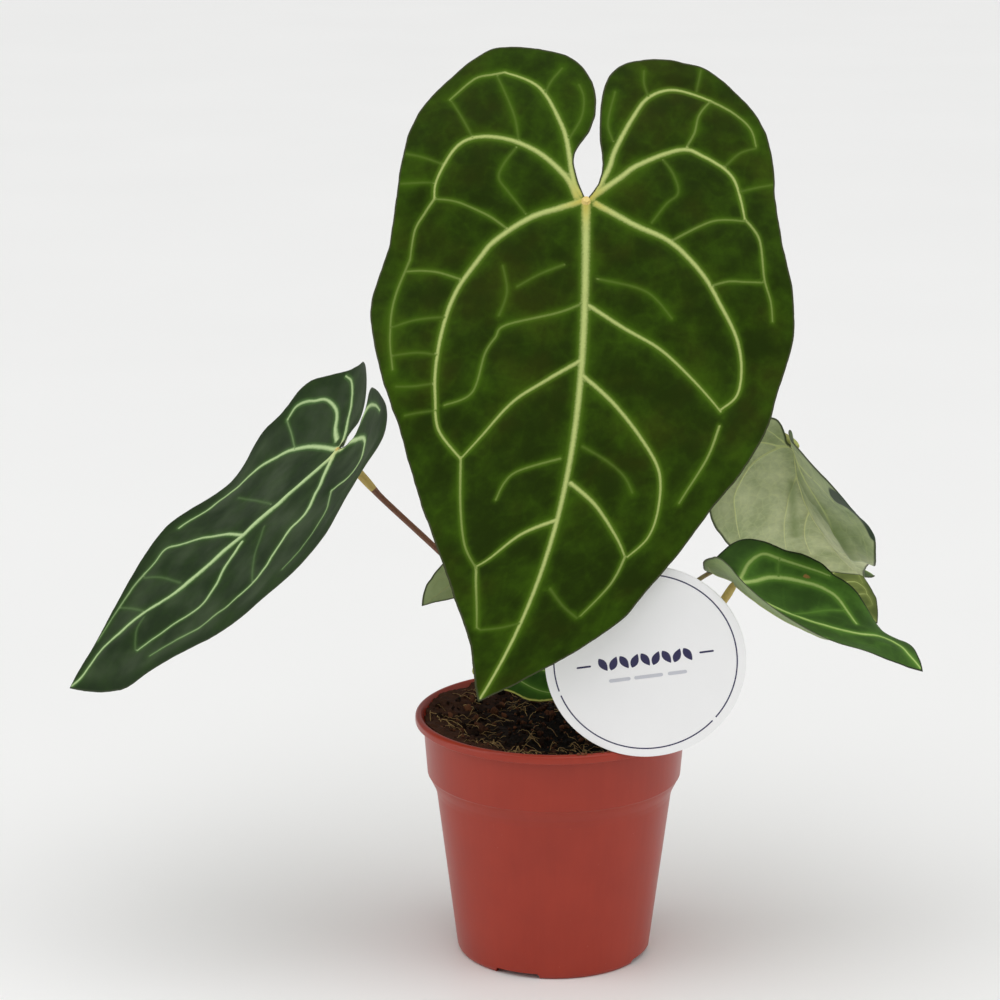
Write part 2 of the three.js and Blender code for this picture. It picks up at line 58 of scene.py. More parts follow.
log = logging.getLogger("anthurium")

Array = np.ndarray
Pair = tuple[float, float]
Pairs = Sequence[Pair]
Triple = tuple[float, float, float]
Colour = tuple[float, float, float]


def srgb(red: int, green: int, blue: int) -> Colour:
    """A linear colour from 8-bit display values."""
    return tuple(
        value / 12.92 if value <= 0.04045 else ((value + 0.055) / 1.055) ** 2.4
        for value in (red / 255, green / 255, blue / 255)
    )


def smoothstep(low: float, high: float, value: Array) -> Array:
    """0 below low, 1 above high, and a smooth step between them."""
    share = np.clip((value - low) / (high - low), 0, 1)
    return share * share * (3 - 2 * share)


def grain(points: Array, size: float, seed: float = 0.0) -> Array:
    """Smooth noise at some points.

    Args:
        points: n x 2 or n x 3 array.
        size: Length of one swell of the noise.
        seed: Any number, for noise of another pattern.

    Returns:
        One value a point, from about -1 to 1.
    """
    spots = np.zeros((len(points), 3))
    spots[:, : points.shape[1]] = points / size
    spots += (seed, 2.3 * seed, 3.7 * seed)
    return np.array([noise.noise(Vector(spot)) for spot in spots.tolist()])


def spline(points: Sequence[Sequence[float]], steps: int = 20) -> Array:
    """A Catmull-Rom line through points.

    Args:
        points: The points.
        steps: Steps between two of them.

    Returns:
        The line's points.
    """
    knots = np.array(points, float)
    last = len(knots) - 1
    place = np.linspace(0, last, steps * last + 1)
    index = np.minimum(place.astype(int), last - 1)
    t = (place - index)[:, None]
    before, a, b, after = (knots[np.clip(index + shift, 0, last)] for shift in (-1, 0, 1, 2))
    return 0.5 * (
        2 * a
        + (b - before) * t
        + (2 * before - 5 * a + 4 * b - after) * t**2
        + (3 * a - before - 3 * b + after) * t**3
    )


def centripetal(knots: Sequence[Array], steps: int = 24) -> Array:
    """A centripetal Catmull-Rom curve through points in space.

    Args:
        knots: The points.
        steps: Steps between two of them.

    Returns:
        The curve's points.
    """
    spots = [2 * knots[0] - knots[1], *knots, 2 * knots[-1] - knots[-2]]
    line = []
    for p0, p1, p2, p3 in zip(spots, spots[1:], spots[2:], spots[3:]):
        roots = [math.sqrt(np.linalg.norm(b - a)) for a, b in ((p0, p1), (p1, p2), (p2, p3))]
        t0, t1, t2, t3 = np.cumsum([0.0] + roots)
        for t in np.linspace(t1, t2, steps, endpoint=False):
            a1 = (t1 - t) / (t1 - t0) * p0 + (t - t0) / (t1 - t0) * p1
            a2 = (t2 - t) / (t2 - t1) * p1 + (t - t1) / (t2 - t1) * p2
            a3 = (t3 - t) / (t3 - t2) * p2 + (t - t2) / (t3 - t2) * p3
            b1 = (t2 - t) / (t2 - t0) * a1 + (t - t0) / (t2 - t0) * a2
            b2 = (t3 - t) / (t3 - t1) * a2 + (t - t1) / (t3 - t1) * a3
            line.append((t2 - t) / (t2 - t1) * b1 + (t - t1) / (t2 - t1) * b2)
    line.append(knots[-1])
    return np.array(line)


def lengths(line: Array) -> Array:
    """The length of a line up to each of its points."""
    return np.concatenate([[0], np.cumsum(np.linalg.norm(np.diff(line, axis=0), axis=1))])


def resample(line: Array, spacing: float) -> Array:
    """The same line with points at an even spacing, ends kept."""
    run = lengths(line)
    count = max(2, round(run[-1] / spacing) + 1)
    at = np.linspace(0, run[-1], count)
    return np.stack([np.interp(at, run, column) for column in line.T], axis=1)


def unit(vectors: Array) -> Array:
    """Vectors scaled to a length of 1."""
    return vectors / np.maximum(np.linalg.norm(vectors, axis=-1, keepdims=True), 1e-12)


def full_turn(count: int) -> Array:
    """Even angles round a full turn, in radians."""
    return np.linspace(0, 2 * math.pi, count, endpoint=False)


def compass(angle: float) -> Array:
    """The flat unit vector at an angle in radians."""
    return np.array([math.cos(angle), math.sin(angle)])


def crosswise(line: Array) -> Array:
    """Unit vectors square to a flat line, to its right."""
    along = unit(np.gradient(line, axis=0))
    return np.stack([along[:, 1], -along[:, 0]], axis=1)


def nearest_on_line(points: Array, line: Array, reach: float) -> tuple[Array, Array]:
    """How far flat points are from a line, and where on it their nearest place is.

    Args:
        points: n x 2 array.
        line: m x 2 array.
        reach: Points further away than this aren't measured.

    Returns:
        Distances, infinite beyond the reach, and places as fractional indices of the line.
    """
    gap = np.full(len(points), np.inf)
    place = np.zeros(len(points))
    low, high = line.min(0) - reach, line.max(0) + reach
    near = np.flatnonzero(((points > low) & (points < high)).all(1))
    for block in np.array_split(near, len(near) // 4000 + 1):
        offset = points[block, None] - line[None, :-1]
        step = np.diff(line, axis=0)
        share = np.clip((offset * step).sum(2) / np.maximum((step**2).sum(1), 1e-12), 0, 1)
        distance = np.linalg.norm(offset - share[..., None] * step, axis=2)
        best = distance.argmin(1)
        rows = np.arange(len(block))
        gap[block] = distance[rows, best]
        place[block] = best + share[rows, best]
    gap[gap > reach] = np.inf
    return gap, place


def is_inside(points: Array, loop: Array) -> Array:
    """Whether flat points lie inside a closed loop.

    Args:
        points: n x 2 array.
        loop: Corners of the loop.

    Returns:
        One truth a point.
    """
    inside = np.zeros(len(points), bool)
    x, y = points.T
    for (x0, y0), (x1, y1) in zip(loop, np.roll(loop, -1, axis=0)):
        if y0 == y1:
            continue
        crosses = (y0 > y) != (y1 > y)
        inside ^= crosses & (x < x0 + (y - y0) * (x1 - x0) / (y1 - y0))
    return inside


def rounded(profile: Pairs, radius: float, steps: int = 4) -> Array:
    """A profile whose inner corners are rounded.

    Args:
        profile: Corner points, of which the first and last stay as they are.
        radius: How far from its corner a rounding starts, at most.
        steps: Steps in a rounding.

    Returns:
        The points of the rounded line.
    """
    corners = np.array(profile, float)
    line = [corners[0]]
    for before, corner, after in zip(corners, corners[1:], corners[2:]):
        ends = []
        for other in (before, after):
            length = np.linalg.norm(other - corner)
            ends.append(corner + (other - corner) * min(radius, 0.45 * length) / length)
        for t in np.linspace(0, 1, steps + 1):
            line.append((1 - t) ** 2 * ends[0] + 2 * t * (1 - t) * corner + t * t * ends[1])
    line.append(corners[-1])
    return np.array(line)


@dataclass
class Form:
    """Points, faces and values a point of a mesh in the making."""

    points: Array
    faces: list[tuple[int, ...]]
    values: dict[str, Array] = field(default_factory=dict)

    def tinted(self, tone: float) -> "Form":
        """The form with one tone at all its points."""
        self.values["tone"] = np.full(len(self.points), tone)
        return self


def joined(forms: Iterable[Form]) -> Form:
    """Several closed forms as one.

    Args:
        forms: The forms, which all hold the same values.

    Returns:
        The joined form.
    """
    forms = list(forms)
    starts = np.cumsum([0] + [len(form.points) for form in forms])
    faces = [
        tuple(int(start) + index for index in face)
        for form, start in zip(forms, starts)
        for face in form.faces
    ]
    values = {
        name: np.concatenate([form.values[name] for form in forms]) for name in forms[0].values
    }
    return Form(np.concatenate([form.points for form in forms]), faces, values)


def tube_faces(rings: int, sides: int) -> list[tuple[int, ...]]:
    """Faces of a tube whose ends are closed by fans.

    Args:
        rings: Number of rings of points. The poles of the first and last fan follow them.
        sides: Number of points in a ring.

    Returns:
        The faces.
    """
    turn = [(j, (j + 1) % sides) for j in range(sides)]
    faces = [
        (i * sides + j, i * sides + k, (i + 1) * sides + k, (i + 1) * sides + j)
        for i in range(rings - 1)
        for j, k in turn
    ]
    pole = rings * sides
    last = pole - sides
    faces += [(pole, k, j) for j, k in turn]
    faces += [(pole + 1, last + j, last + k) for j, k in turn]
    return faces


def lathe(profile: Array, sides: int) -> Form:
    """A form of revolution about Z.

    Args:
        profile: [radius, height] points that run up the outside, from a point on the axis to another.
        sides: Number of sides.

    Returns:
        The closed form.
    """
    angle = full_turn(sides)
    rings = [
        np.stack([radius * np.cos(angle), radius * np.sin(angle), np.full(sides, height)], axis=1)
        for radius, height in profile[1:-1]
    ]
    poles = np.array([[0, 0, profile[0][1]], [0, 0, profile[-1][1]]])
    return Form(np.concatenate([*rings, poles]), tube_faces(len(rings), sides))


def sweep(path: Array, radius: Array, sides: int) -> Form:
    """A closed round bar along a line.

    Args:
        path: n x 3 array.
        radius: The radius at each point of the path, or at each point and side of it.
        sides: Number of sides.

    Returns:
        The bar. Its value "along" runs from 0 to 1 over its length.
    """
    along = unit(np.gradient(path, axis=0))
    start = np.array([0.0, 0.0, 1.0]) if abs(along[0, 2]) < 0.8 else np.array([1.0, 0.0, 0.0])
    side = unit(start - along[0] * (start @ along[0]))
    angle = full_turn(sides)
    radii = np.broadcast_to(radius.reshape(len(path), -1), (len(path), sides))
    points = []
    for centre, direction, ring in zip(path, along, radii):
        side = unit(side - direction * (side @ direction))
        up = np.cross(direction, side)
        across = (ring * np.cos(angle))[:, None] * side
        points.append(centre + across + (ring * np.sin(angle))[:, None] * up)
    share = np.repeat(np.linspace(0, 1, len(path)), sides)
    values = {"along": np.concatenate([share, [0, 1]])}
    return Form(np.concatenate([*points, path[:1], path[-1:]]), tube_faces(len(path), sides), values)


def plate(outline: Pairs, low: float, high: float) -> Form:
    """A flat plate in the XY plane.

    Args:
        outline: Its corners, anticlockwise.
        low: Height of its lower face.
        high: Height of its upper face.

    Returns:
        The closed plate.
    """
    flat = np.array(outline, float)
    count = len(flat)
    points = np.concatenate(
        [np.column_stack([flat, np.full(count, height)]) for height in (low, high)]
    )
    faces = [tuple(range(count - 1, -1, -1)), tuple(range(count, 2 * count))]
    for i in range(count):
        k = (i + 1) % count
        faces.append((i, k, k + count, i + count))
    return Form(points, faces)


def add_piece(
    name: str,
    form: Form,
    materials: Sequence[Material],
    nodes: Sequence[str] = (),
    face_materials: Array | None = None,
    sharp_degrees: float = 40.0,
) -> bpy.types.Object:
    """Makes one piece of the object, which rides on the root body.

    Args:
        name: The piece's name.
        form: Its mesh, in millimetres.
        materials: Its materials.
        nodes: CAD nodes that it stands for.
        face_materials: The material of each face, where there are several.
        sharp_degrees: Edges sharper than this aren't shaded smooth.

    Returns:
        The Blender object.
    """
    mesh = bpy.data.meshes.new(name)
    mesh.from_pydata((form.points * METRES).tolist(), [], form.faces)
    for key, values in form.values.items():
        kind = "FLOAT" if values.ndim == 1 else "FLOAT_VECTOR"
        attribute = mesh.attributes.new(key, kind, "POINT")
        field_name = "value" if values.ndim == 1 else "vector"
        attribute.data.foreach_set(field_name, values.astype(np.float32).ravel())
    for material in materials:
        mesh.materials.append(material)
    if face_materials is not None:
        mesh.polygons.foreach_set("material_index", face_materials.astype(np.int32))
    mesh.shade_smooth()
    mesh.set_sharp_from_angle(angle=math.radians(sharp_degrees))
    mesh.update()
    piece = bpy.data.objects.new(name, mesh)
    bpy.context.scene.collection.objects.link(piece)
    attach(piece, ROOT)
    if nodes:
        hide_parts(*nodes)
    triangles = sum(len(polygon.vertices) - 2 for polygon in mesh.polygons)
    log.info("%s: %d triangles", name, triangles)
    return piece


# Shader expressions


class Wire:
    """A node's output, which adds Math nodes when it is used in an expression."""

    def __init__(self, shader: "Shader", socket: NodeSocket) -> None:
        """Wraps a socket of a shader."""
        self.shader = shader
        self.socket = socket

    def _math(self, operation: str, left: Any, right: Any) -> "Wire":
        """A Math node on two values."""
        inputs = {"Value": left, "Value_001": right}
        return self.shader.node("ShaderNodeMath", {"operation": operation}, inputs)

    def __add__(self, other: Any) -> "Wire":
        """self + other."""
        return self._math("ADD", self, other)

    def __radd__(self, other: Any) -> "Wire":
        """other + self."""
        return self._math("ADD", other, self)

    def __sub__(self, other: Any) -> "Wire":
        """self - other."""
        return self._math("SUBTRACT", self, other)

    def __rsub__(self, other: Any) -> "Wire":
        """other - self."""
        return self._math("SUBTRACT", other, self)

    def __mul__(self, other: Any) -> "Wire":
        """self * other."""
        return self._math("MULTIPLY", self, other)

    def __rmul__(self, other: Any) -> "Wire":
        """other * self."""
        return self._math("MULTIPLY", other, self)

    def step(self, low: float, high: float) -> "Wire":
        """0 where the value is low and 1 where it is high, with a smooth step between."""
        inputs = {"Value": self, "From Min": low, "From Max": high}
        return self.shader.node("ShaderNodeMapRange", {"interpolation_type": "SMOOTHSTEP"}, inputs)


class Shader:
    """A material's node tree."""

    def __init__(self, name: str) -> None:
        """Starts a material of this name with its Principled shader."""
        self.material = bpy.data.materials.new(name)
        self.material.use_nodes = True
        self.tree = self.material.node_tree
        self.surface = self.tree.nodes["Principled BSDF"]

    def _feed(self, socket: NodeSocket, value: Any) -> None:
        """Links a wire to a socket, or sets the socket's own value."""
        if isinstance(value, Wire):
            self.tree.links.new(value.socket, socket)
        elif socket.type == "RGBA":
            socket.default_value = (*value, 1.0) if len(value) == 3 else value
        else:
            socket.default_value = value

    def node(
        self, kind: str, settings: Mapping[str, Any], inputs: Mapping[str, Any], output: str = ""
    ) -> Wire:
        """Adds a node.

        Args:
            kind: The node's type.
            settings: Its settings, set before its sockets.
            inputs: A value or a wire for each input named by its identifier.
            output: The identifier of the output to use, or nothing for the first one.

        Returns:
            The output.
        """
        made = self.tree.nodes.new(kind)
        for name, value in settings.items():
            setattr(made, name, value)
        sockets = {socket.identifier: socket for socket in made.inputs}
        for name, value in inputs.items():
            self._feed(sockets[name], value)
        outputs = {socket.identifier: socket for socket in made.outputs}
        return Wire(self, outputs[output] if output else made.outputs[0])

    def value(self, name: str) -> Wire:
        """A number stored at the mesh's points."""
        return self.node("ShaderNodeAttribute", {"attribute_name": name}, {}, "Fac")

    def vector(self, name: str) -> Wire:
        """A vector stored at the mesh's points."""
        return self.node("ShaderNodeAttribute", {"attribute_name": name}, {}, "Vector")

    def place(self) -> Wire:
        """The place on the object, in metres."""
        return self.node("ShaderNodeTexCoord", {}, {}, "Object")

    def stretched(self, at: Wire, shares: Triple) -> Wire:
        """A place scaled by its own share on each axis."""
        inputs = {"Vector": at, "Vector_001": shares}
        return self.node("ShaderNodeVectorMath", {"operation": "MULTIPLY"}, inputs)

    def noise(self, at: Wire, size: float, detail: float = 2.0, roughness: float = 0.5) -> Wire:
        """Noise from 0 to 1.

        Args:
            at: Where it is read.
            size: Length of a swell in millimetres.
            detail: How many finer layers it has.
            roughness: How strong those are.

        Returns:
            The noise.
        """
        inputs = {
            "Vector": at,
            "Scale": 1 / (size * METRES),
            "Detail": detail,
            "Roughness": roughness,
        }
        return self.node("ShaderNodeTexNoise", {}, inputs)

    def cell_edges(self, at: Wire, size: float) -> Wire:
        """The distance to the edges of cells of about size millimetres, as a share of that size."""
        inputs = {"Vector": at, "Scale": 1 / (size * METRES)}
        return self.node("ShaderNodeTexVoronoi", {"feature": "DISTANCE_TO_EDGE"}, inputs)

    def mix(self, factor: Wire | float, low: Wire | Colour, high: Wire | Colour) -> Wire:
        """A colour between two."""
        inputs = {"Factor_Float": factor, "A_Color": low, "B_Color": high}
        return self.node("ShaderNodeMix", {"data_type": "RGBA"}, inputs, "Result_Color")

    def bump(self, height: Wire, depth: float, strength: float) -> Wire:
        """Surface normals from a height of 0 to 1 that stands for depth millimetres."""
        inputs = {"Height": height, "Distance": depth * METRES, "Strength": strength}
        return self.node("ShaderNodeBump", {}, inputs)

    def finish(self, inputs: Mapping[str, Any]) -> Material:
        """Sets the shader's sockets by name and returns the material."""
        for name, value in inputs.items():
            self._feed(self.surface.inputs[name], value)
        return self.material


# Finishes


@dataclass(frozen=True)
class LeafTop:
    """The velvety upper face of a blade, with pale veins in a green glow and patches of painted sheen in
    its colour.
    """

    name: str
    deep: Colour = srgb(31, 46, 3)
    fresh: Colour = srgb(57, 86, 10)
    vein: Colour = srgb(184, 196, 120)
    edge: Colour = srgb(66, 70, 48)
    net: float = 0.12
    velvet: float = 0.02
    gloss: float = 0.05
    # Strength and colour of pale patches of painted sheen, which stand for the velvet's reflection
    painted_sheen: float = 0.0
    glow: Colour = srgb(98, 128, 40)
    warm: Colour = srgb(62, 60, 12)
    painted_sheen_colour: Colour = srgb(88, 102, 76)
    heart: Colour = srgb(196, 184, 88)
    dry: Colour = srgb(150, 112, 62)

    def material(self) -> Material:
        """Makes the material."""
        shader = Shader(self.name)
        at = shader.vector("leaf_at")
        mottle = shader.noise(at, 14, 4, 0.6)
        fine = shader.noise(at, 1.1, 2)
        gap = shader.value("vein_gap")
        line = (gap + (fine - 0.5) * 0.7).step(1.9, 0.2) * shader.value("vein_tone")
        halo = shader.value("halo")
        rim = shader.value("rim_gap")
        freshness = halo * 0.75 + (mottle - 0.5) * 1.5 + rim.step(13.0, 3.0) * 0.14 + 0.22
        colour = shader.mix(freshness.step(0.0, 1.0), self.deep, self.fresh)
        colour = shader.mix(shader.noise(at, 26, 3).step(0.45, 0.75) * 0.24, colour, self.warm)
        # Painted sheen: pale patches in the base colour that stand for reflected light, kept off the
        # margin
        painted_sheen = shader.noise(at, 22, 3).step(0.35, 0.75) * (rim.step(1.5, 9.0) * self.painted_sheen)
        colour = shader.mix(painted_sheen, colour, self.painted_sheen_colour)
        colour = shader.mix(halo.step(0.4, 1.2) * 0.8, colour, self.glow)
        wide = shader.cell_edges(at, 13.0).step(0.075, 0.0)
        small = shader.cell_edges(at, 5.0).step(0.1, 0.0) * 0.45
        net = (wide + small) * (mottle.step(0.25, 0.65) * self.net)
        colour = shader.mix(net, colour, self.fresh)
        colour = shader.mix(line, colour, self.vein)
        colour = shader.mix(shader.value("heart") * line, colour, self.heart)
        fringe = (rim + (fine - 0.5) * 0.5).step(0.75, 0.15)
        colour = shader.mix(fringe, colour, self.edge)
        spot = (shader.value("mark") + (fine - 0.5) * 0.3).step(0.35, 0.6)
        colour = shader.mix(spot, colour, self.dry)
        height = fine * 0.4 + shader.noise(at, 0.35, 2) * 0.35 + net * 0.5
        return shader.finish({
            "Base Color": colour,
            "Roughness": 0.62 + (mottle - 0.5) * 0.16 - line * 0.08,
            "Normal": shader.bump(height, 0.12, 0.5),
            "Sheen Weight": self.velvet,
            "Sheen Roughness": 0.45,
            "Sheen Tint": srgb(214, 224, 190),
            "Specular IOR Level": self.gloss,
        })


@dataclass(frozen=True)
class LeafUnder:
    """The paler, matt underside of a blade, with raised veins, a fine network and painted shade along its
    folds.
    """

    name: str
    flesh: Colour = srgb(104, 122, 70)
    # The darker tone of the random mottling, and the colour of the painted shade along folds
    dark_tone_and_fold_shade: Colour = srgb(82, 104, 52)
    vein: Colour = srgb(176, 184, 122)
    edge: Colour = srgb(74, 84, 48)
    hem: Colour = srgb(66, 82, 64)

    def material(self) -> Material:
        """Makes the material."""
        shader = Shader(self.name)
        at = shader.vector("leaf_at")
        mottle = shader.noise(at, 11, 4, 0.6)
        fine = shader.noise(at, 0.9, 2)
        gap = shader.value("vein_gap")
        line = (gap + (fine - 0.5) * 0.5).step(1.5, 0.7) * shader.value("vein_tone")
        rim = shader.value("rim_gap")
        # Random mottling between the flesh and the dark tone
        colour = shader.mix((mottle - 0.5) * 1.4 + 0.5, self.dark_tone_and_fold_shade, self.flesh)
        cells = shader.cell_edges(at, 4.2)
        colour = shader.mix(cells.step(0.1, 0.0) * 0.15, colour, self.vein)
        colour = shader.mix(line * 0.85, colour, self.vein)
        # Painted shade: the underside darkens along the folds
        colour = shader.mix(shader.value("dark_tone_and_fold_shade") * 0.75, colour, self.dark_tone_and_fold_shade)
        colour = shader.mix(rim.step(1.0, 0.2), colour, self.edge)
        colour = shader.mix(shader.value("hem").step(0.35, 0.6), colour, self.hem)
        height = cells.step(0.0, 0.25) * -0.4 + fine * 0.4
        return shader.finish({
            "Base Color": colour,
            "Roughness": 0.6 + (mottle - 0.5) * 0.15,
            "Normal": shader.bump(height, 0.12, 0.5),
            "Sheen Weight": 0.12,
            "Specular IOR Level": 0.4,
        })


@dataclass(frozen=True)
class Stem:
    """The skin of a petiole or geniculum, finely lined along its length and freckled."""

    name: str
    low: Colour
    high: Colour
    freckle: Colour
    freckles: float = 0.5

    def material(self) -> Material:
        """Makes the material."""
        shader = Shader(self.name)
        at = shader.place()
        patches = shader.noise(at, 9, 4, 0.6)
        lines = shader.noise(shader.stretched(at, (1.0, 1.0, 0.14)), 0.7, 3)
        along = shader.value("along")
        colour = shader.mix((along + (patches - 0.5) * 0.7).step(0.1, 0.9), self.low, self.high)
        specks = (shader.noise(at, 1.4, 3, 0.7) * 0.6 + lines * 0.4).step(0.48, 0.62)
        colour = shader.mix(specks * self.freckles, colour, self.freckle)
        return shader.finish({
            "Base Color": colour,
            "Roughness": 0.42 + patches * 0.16,
            "Normal": shader.bump(lines, 0.15, 0.5),
            "Specular IOR Level": 0.45,
        })


@dataclass(frozen=True)
class PotPlastic:
    """Thin moulded plastic, slightly mottled, with faint drawn lines and dust."""

    name: str = "pot_plastic"
    deep: Colour = srgb(138, 36, 18)
    pale: Colour = srgb(168, 54, 32)
    dust: Colour = srgb(192, 112, 92)

    def material(self) -> Material:
        """Makes the material."""
        shader = Shader(self.name)
        at = shader.place()
        cloud = shader.noise(at, 26, 4, 0.55)
        drawn = shader.noise(shader.stretched(at, (1.0, 1.0, 0.05)), 2.6, 3)
        colour = shader.mix(cloud * 0.7 + drawn * 0.3, self.deep, self.pale)
        specks = shader.noise(at, 1.3, 2, 0.7).step(0.72, 0.8)
        colour = shader.mix(specks * 0.6, colour, self.dust)
        return shader.finish({
            "Base Color": colour,
            "Roughness": 0.34 + (cloud - 0.5) * 0.2 + specks * 0.2,
            "Normal": shader.bump(drawn * 0.6 + shader.noise(at, 0.8, 2) * 0.4, 0.06, 0.5),
            "Specular IOR Level": 0.38,
        })


@dataclass(frozen=True)
class Earth:
    """Dark peat, or crumbs of it in several tones."""

    name: str
    dark: Colour = srgb(12, 8, 6)
    pale: Colour = srgb(76, 47, 33)
    rough: float = 0.92

    def material(self) -> Material:
        """Makes the material."""
        shader = Shader(self.name)
        at = shader.place()
        coarse = shader.noise(at, 3.4, 4, 0.7)
        fine = shader.noise(at, 0.8, 3, 0.7)
        tone = shader.value("tone")
        amount = (coarse * 0.5 + fine * 0.5 - 0.5) * 1.6 + tone
        return shader.finish({
            "Base Color": shader.mix(amount.step(0.0, 1.0), self.dark, self.pale),
            "Roughness": self.rough - fine * 0.15,
            "Normal": shader.bump(coarse * 0.6 + fine * 0.4, 0.6, 1.0),
            "Specular IOR Level": 0.12,
        })


@dataclass(frozen=True)
class Sheeting:
    """Smooth plastic sheet or printed ink, with faint clouding."""

    name: str
    base: Colour
    cloud: Colour
    rough: float = 0.4

    def material(self) -> Material:
        """Makes the material."""
        shader = Shader(self.name)
        at = shader.place()
        cloud = shader.noise(at, 18, 3)
        fine = shader.noise(at, 0.6, 2)
        return shader.finish({
            "Base Color": shader.mix(cloud, self.base, self.cloud),
            "Roughness": self.rough + (fine - 0.5) * 0.12,
            "Normal": shader.bump(fine, 0.03, 0.4),
            "Specular IOR Level": 0.45,
        })


@dataclass(frozen=True)
class FloorPaint:
    """A pale, faintly glossy table top."""

    name: str = "floor"

    def material(self) -> Material:
        """Makes the material."""
        shader = Shader(self.name)
        cloud = shader.noise(shader.place(), 300, 2)
        return shader.finish({
            "Base Color": shader.mix(cloud, srgb(241, 241, 240), srgb(245, 245, 244)),
            "Roughness": 0.42,
            "Specular IOR Level": 0.25,
        })


# Leaves


class Side(Enum):
    """A half of a blade, seen from above with its tip pointing away."""

    RIGHT = 1
    LEFT = -1


@dataclass(frozen=True)
class Grade:
    """How a kind of vein looks, for a blade of the outline's length.

    start and end are half widths. tone and fade are its paleness at its start and end. rib is
    how far it stands out below the blade, and groove how deep it lies in the upper face. glow is
    the strength of the green beside it.
    """

    start: float
    end: float
    tone: float
    fade: float
    rib: float
    groove: float
    glow: float


class Rank(Enum):
    """The kinds of veins of a blade."""

    MIDRIB = Grade(1.3, 0.4, 1.0, 0.85, 1.6, 1.3, 1.0)
    PRIMARY = Grade(0.95, 0.32, 1.0, 0.75, 1.0, 1.0, 1.0)
    LATERAL = Grade(0.65, 0.27, 0.9, 0.6, 0.7, 0.8, 0.95)
    COLLECTIVE = Grade(0.42, 0.28, 0.5, 0.22, 0.45, 0.5, 0.85)
    CROSS = Grade(0.4, 0.3, 0.2, 0.18, 0.3, 0.35, 0.8)
    FAINT = Grade(0.4, 0.3, 0.05, 0.05, 0.15, 0.2, 0.68)


@dataclass(frozen=True)
class Vein:
    """A vein as [along the midrib, across] points on the outline's scale."""

    rank: Rank
    points: Pairs


@dataclass(frozen=True)
class Stroke:
    """A fold or a turned hem along a line of a blade, on the outline's scale.

    reach is its half width. depth is how far it sinks towards the underside. A fold also paints
    shade on the underside, and a hem shows the upper face's dark tone below.
    """

    side: Side
    points: Pairs
    reach: float
    depth: float = 0.0
    hem: bool = False


@dataclass(frozen=True)
class VeinField:
    """What a blade's veins do at its points.

    gap counts half widths to the nearest vein, whose paleness is tone. halo is the green beside
    the veins. dome is 1 between them and less where they hold the sheet down. ridge and rib are
    their relief above and below.
    """

    gap: Array
    tone: Array
    halo: Array
    dome: Array
    ridge: Array
    rib: Array


@dataclass(frozen=True)
class VeinLine:
    """A vein's line on the flat blade, with its half width and tone at each point."""

    line: Array
    half_width: Array
    tone: Array
    grade: Grade


